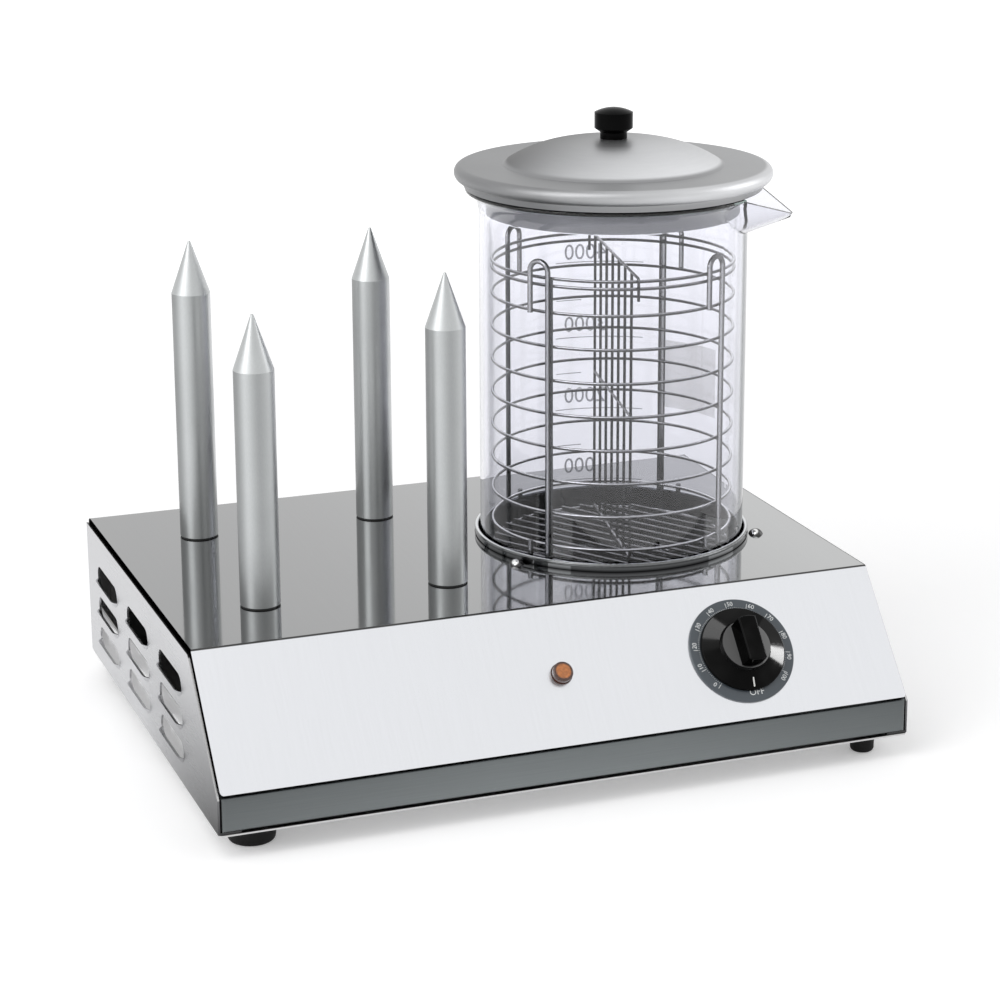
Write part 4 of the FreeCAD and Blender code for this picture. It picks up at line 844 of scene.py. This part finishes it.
def finishPiece(piece, name, material, body):
    piece.name = name
    piece.data.name = name
    piece.data.materials.clear()
    piece.data.materials.append(material)
    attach(piece, body)


def joinPieces(pieces):
    deselectAll()
    for piece in pieces:
        piece.select_set(True)
    bpy.context.view_layer.objects.active = pieces[0]
    bpy.ops.object.join()
    return bpy.context.object


def bakePlace(piece, matrix):
    piece.data.transform(matrix)
    piece.matrix_world = Matrix.Identity(4)
    piece.data.update()


def clockwise(degrees):
    # turns clockwise from the bottom of the dial, seen from the front
    return Matrix.Rotation(-math.radians(degrees), 4, "Z")


def outBy(radius):
    return Matrix.Translation((0, -radius, 0))


def wordMesh(text, height, thickness=0.00004):
    # a word of the built-in font as a thin mesh, centred on the origin
    deselectAll()
    bpy.ops.object.text_add(location=(0, 0, 0))
    word = bpy.context.object
    word.data.body = text
    word.data.align_x = "CENTER"
    word.data.align_y = "CENTER"
    word.data.size = height / 0.7
    word.data.extrude = thickness
    word.data.resolution_u = 3
    bpy.ops.object.convert(target="MESH")
    return bpy.context.object


def sizeFlat(piece, width, height):
    # leaves the flat piece in edit mode with everything selected
    piece.scale = (width, height, 1.0)
    bpy.ops.object.transform_apply(location=False, rotation=False, scale=True)
    bpy.ops.object.mode_set(mode="EDIT")
    bpy.ops.mesh.select_all(action="SELECT")


def thicken(thickness):
    bpy.ops.mesh.extrude_region_move(TRANSFORM_OT_translate={"value": (0, 0, thickness)})
    bpy.ops.object.mode_set(mode="OBJECT")


def barMesh(width, length, thickness=0.00004):
    # a thin printed bar along Y, its corners softened
    deselectAll()
    bpy.ops.mesh.primitive_plane_add(size=1.0)
    bar = bpy.context.object
    sizeFlat(bar, width, length)
    bpy.ops.mesh.bevel(offset=width * 0.3, segments=2, affect="VERTICES")
    thicken(thickness)
    return bar


def longBar(width, length, parts):
    # a flat bar along X, cut into short steps so that it can bend
    deselectAll()
    bpy.ops.mesh.primitive_grid_add(x_subdivisions=parts, y_subdivisions=1, size=1.0)
    bar = bpy.context.object
    sizeFlat(bar, length, width)
    thicken(0.00003)
    return bar


# ---- marks of the dial and the knob


def dialMarks():
    look = dialLook
    marks = []

    def addTick(turn, width, start, end):
        tick = barMesh(width, end - start)
        bakePlace(tick, clockwise(turn) @ outBy((start + end) / 2))
        marks.append(tick)

    for i, number in enumerate(look["numbers"]):
        turn = look["firstTick"] + look["tickPitch"] * i
        addTick(turn, look["tickWidth"], look["tickFrom"], look["tickTo"])
        word = wordMesh(number, look["numberHeight"])
        upright = Matrix.Rotation(math.pi, 4, "Z")
        bakePlace(word, clockwise(turn + look["numberTurn"]) @ outBy(look["numberRadius"]) @ upright)
        marks.append(word)
    sweep = look["tickPitch"] * (len(look["numbers"]) - 1)
    for i in range(look["fineCount"]):
        turn = look["firstTick"] + sweep * i / (look["fineCount"] - 1)
        addTick(turn, look["fineWidth"], look["fineFrom"], look["fineTo"])
    off = wordMesh("OFF", look["offHeight"])
    bakePlace(off, Matrix.Translation((look["offX"], -look["offRadius"], 0)))
    marks.append(off)
    piece = joinPieces(marks)
    bakePlace(piece, panelMatrix(look["x"], look["down"], look["thickness"] + look["lift"]))
    material = printMaterial("dialPrint", look["print"], 0.5, 2500.0)
    finishPiece(piece, "dialMarks", material, "casing")


pointerLook = {
    "from": 0.0198,
    "to": 0.0252,
    "width": 0.0009,
    "thickness": 0.00012,
    "hubRadius": 0.0164,
    "skirtTop": 0.0077,
    "fall": 0.0038 / 0.0104,
    "lift": 0.00005,
    "color": (0.80, 0.80, 0.78),
}


def knobPointer():
    # the white line on the knob's skirt, which points to OFF
    look = pointerLook
    slope = math.atan(look["fall"])
    line = barMesh(look["width"], (look["to"] - look["from"]) / math.cos(slope), look["thickness"])
    middle = (look["from"] + look["to"]) / 2
    height = look["skirtTop"] - (middle - look["hubRadius"]) * look["fall"] + look["lift"]
    plane = panelMatrix(dialLook["x"], dialLook["down"], height)
    bakePlace(line, plane @ outBy(middle) @ Matrix.Rotation(slope, 4, "X"))
    material = printMaterial("pointerPrint", look["color"], 0.4, 2000.0)
    finishPiece(line, "knobPointer", material, "dial_knob")


# ---- marks of the jar

printLook = {"lift": 0.00003, "digitThickness": 0.00002, "parts": 24, "patchParts": 32}

graduationLook = {
    "numbers": [(0.127, "1000"), (0.176, "2000"), (0.225, "3000"), (0.274, "4000")],
    "numberAngle": 80.2,
    "long": [0.1174, 0.1670, 0.2164, 0.2676],
    "longAngle": 73.9,
    "longLine": 0.061,
    "short": [0.142, 0.192, 0.242],
    "shortAngle": 88.0,
    "shortLine": 0.018,
    "lineWidth": 0.0006,
    "digitHeight": 0.0105,
    "color": (0.60, 0.61, 0.63),
    "cover": 0.6,
}

patchLook = {
    "from": 12.0,
    "to": 46.0,
    "lowZ": 0.170,
    "highZ": 0.216,
    "color": (1.0, 0.96, 0.82),
    "cover": 0.20,
}


def wrapOnJar(piece, angle, z):
    # bends a flat mark round the jar's outside: its X runs round the wall, seen from outside
    radius = jarLook["radius"] + printLook["lift"]
    start = math.radians(angle)
    for vertex in piece.data.vertices:
        turn = start + vertex.co.x / radius
        reach = radius + vertex.co.z
        height = z + vertex.co.y
        vertex.co = (jarLook["x"] + reach * math.cos(turn), jarLook["y"] + reach * math.sin(turn), height)
    piece.data.update()


def wrappedLine(length, angle, z, width, parts=printLook["parts"]):
    line = longBar(width, length, parts)
    wrapOnJar(line, angle, z)
    return line


def jarGraduations():
    # printed on the back of the jar, so that they read through the glass
    look = graduationLook
    marks = [wrappedLine(look["longLine"], look["longAngle"], z, look["lineWidth"]) for z in look["long"]]
    marks += [wrappedLine(look["shortLine"], look["shortAngle"], z, look["lineWidth"]) for z in look["short"]]
    for z, number in look["numbers"]:
        word = wordMesh(number, look["digitHeight"], printLook["digitThickness"])
        wrapOnJar(word, look["numberAngle"], z)
        marks.append(word)
    material = printMaterial("jarPrint", look["color"], 0.5, 900.0, look["cover"])
    finishPiece(joinPieces(marks), "jarGraduations", material, "jar")


def jarPatch():
    # the plain matt field for writing on
    look = patchLook
    turn = (look["from"] + look["to"]) / 2
    length = math.radians(look["to"] - look["from"]) * jarLook["radius"]
    z = (look["lowZ"] + look["highZ"]) / 2
    patch = wrappedLine(length, turn, z, look["highZ"] - look["lowZ"], printLook["patchParts"])
    material = printMaterial("patchPrint", look["color"], 0.7, 700.0, look["cover"])
    finishPiece(patch, "jarPatch", material, "jar")


dialMarks()
knobPointer()
jarGraduations()
jarPatch()
print("marks printed")


# ---- floor, light and camera

stageLook = {
    "floor": (0.88, 0.88, 0.885),
    "size": 30.0,
    "lift": 0.25,
    "farLift": 0.62,
    "near": 0.5,
    "far": 2.2,
    "world": 0.66,
    "background": 1.0,
}


def floorMaterial():
    # pale floor that keeps the shadow and is lifted a little where it is seen or mirrored
    look = stageLook
    material, tree, shader = newMaterial("floorPaper", 0.9, Specular_IOR_Level=0.0)
    shader.inputs["Base Color"].default_value = (*look["floor"], 1.0)
    coords = addNode(tree, "ShaderNodeTexCoord")
    reach = addNode(tree, "ShaderNodeVectorMath", operation="LENGTH")
    tree.links.new(coords.outputs["Object"], reach.inputs[0])
    lift = rampNode(tree, reach.outputs["Value"], look["near"], look["far"], look["lift"], look["farLift"])
    shader.inputs["Emission Color"].default_value = (1.0, 1.0, 1.0, 1.0)
    tree.links.new(mathNode(tree, "MULTIPLY", seenByEye(tree), lift), shader.inputs["Emission Strength"])
    return material


def buildFloor():
    deselectAll()
    bpy.ops.mesh.primitive_plane_add(size=stageLook["size"], location=(0, 0, 0))
    floor = bpy.context.object
    floor.name = "floor"
    floor.data.materials.append(floorMaterial())


def buildWorld():
    world = bpy.data.worlds.new("studio")
    bpy.context.scene.world = world
    world.use_nodes = True
    tree = world.node_tree
    background = tree.nodes["Background"]
    background.inputs["Color"].default_value = (1.0, 1.0, 1.0, 1.0)
    extra = stageLook["background"] - stageLook["world"]
    strength = mathNode(tree, "MULTIPLY_ADD", seenByEye(tree), extra, stageLook["world"])
    tree.links.new(strength, background.inputs["Strength"])


# the two lamps with a piece of their own light only that piece
knobPlace = (0.117, -0.137, 0.073)
knob = "thermostat_knob"
lamps = {
    "softboxTop": {"at": (-1.1, -0.6, 1.9), "aim": (0.0, 0.0, 0.1), "size": 1.6, "power": 12.0},
    "softboxLeft": {"at": (-1.9, -0.6, 1.2), "aim": (0.0, 0.0, 0.15), "size": 1.4, "power": 10.0},
    "softboxRight": {"at": (1.9, -0.2, 1.0), "aim": (0.1, 0.0, 0.2), "size": 1.2, "power": 6.0},
    "knobRight": {"at": (1.41, -0.54, 0.71), "aim": knobPlace, "size": 0.35, "power": 44.0, "only": knob},
    "knobAbove": {"at": (0.057, -0.29, 1.57), "aim": knobPlace, "size": 0.6, "power": 26.0, "only": knob},
}


def aimAt(piece, target):
    direction = Vector(target) - piece.location
    piece.rotation_euler = direction.to_track_quat("-Z", "Y").to_euler()


def buildLamps():
    for name, look in lamps.items():
        data = bpy.data.lights.new(name, "AREA")
        data.shape = "SQUARE"
        data.size = look["size"]
        data.energy = look["power"]
        lamp = bpy.data.objects.new(name, data)
        bpy.context.scene.collection.objects.link(lamp)
        lamp.location = look["at"]
        aimAt(lamp, look["aim"])
        if "only" in look:
            lit = bpy.data.collections.new(name + "Lit")
            lit.objects.link(cadNodes[look["only"]])
            lamp.light_linking.receiver_collection = lit


cameraLook = {
    "at": (-0.5624, -1.5685, 0.6466),
    "aim": (0.0458, 0.0, 0.1732),
    "lens": 99.49,
    "shift": (-0.0496, -0.0540),
}


def buildCamera():
    data = bpy.data.cameras.new("camera")
    camera = bpy.data.objects.new("camera", data)
    bpy.context.scene.collection.objects.link(camera)
    camera.location = cameraLook["at"]
    aimAt(camera, cameraLook["aim"])
    data.sensor_width = 36.0
    data.lens = cameraLook["lens"]
    data.shift_x, data.shift_y = cameraLook["shift"]
    bpy.context.scene.camera = camera


buildFloor()
buildWorld()
buildLamps()
buildCamera()
bpy.context.scene.view_settings.view_transform = "Standard"
print("stage, lamps and camera set")
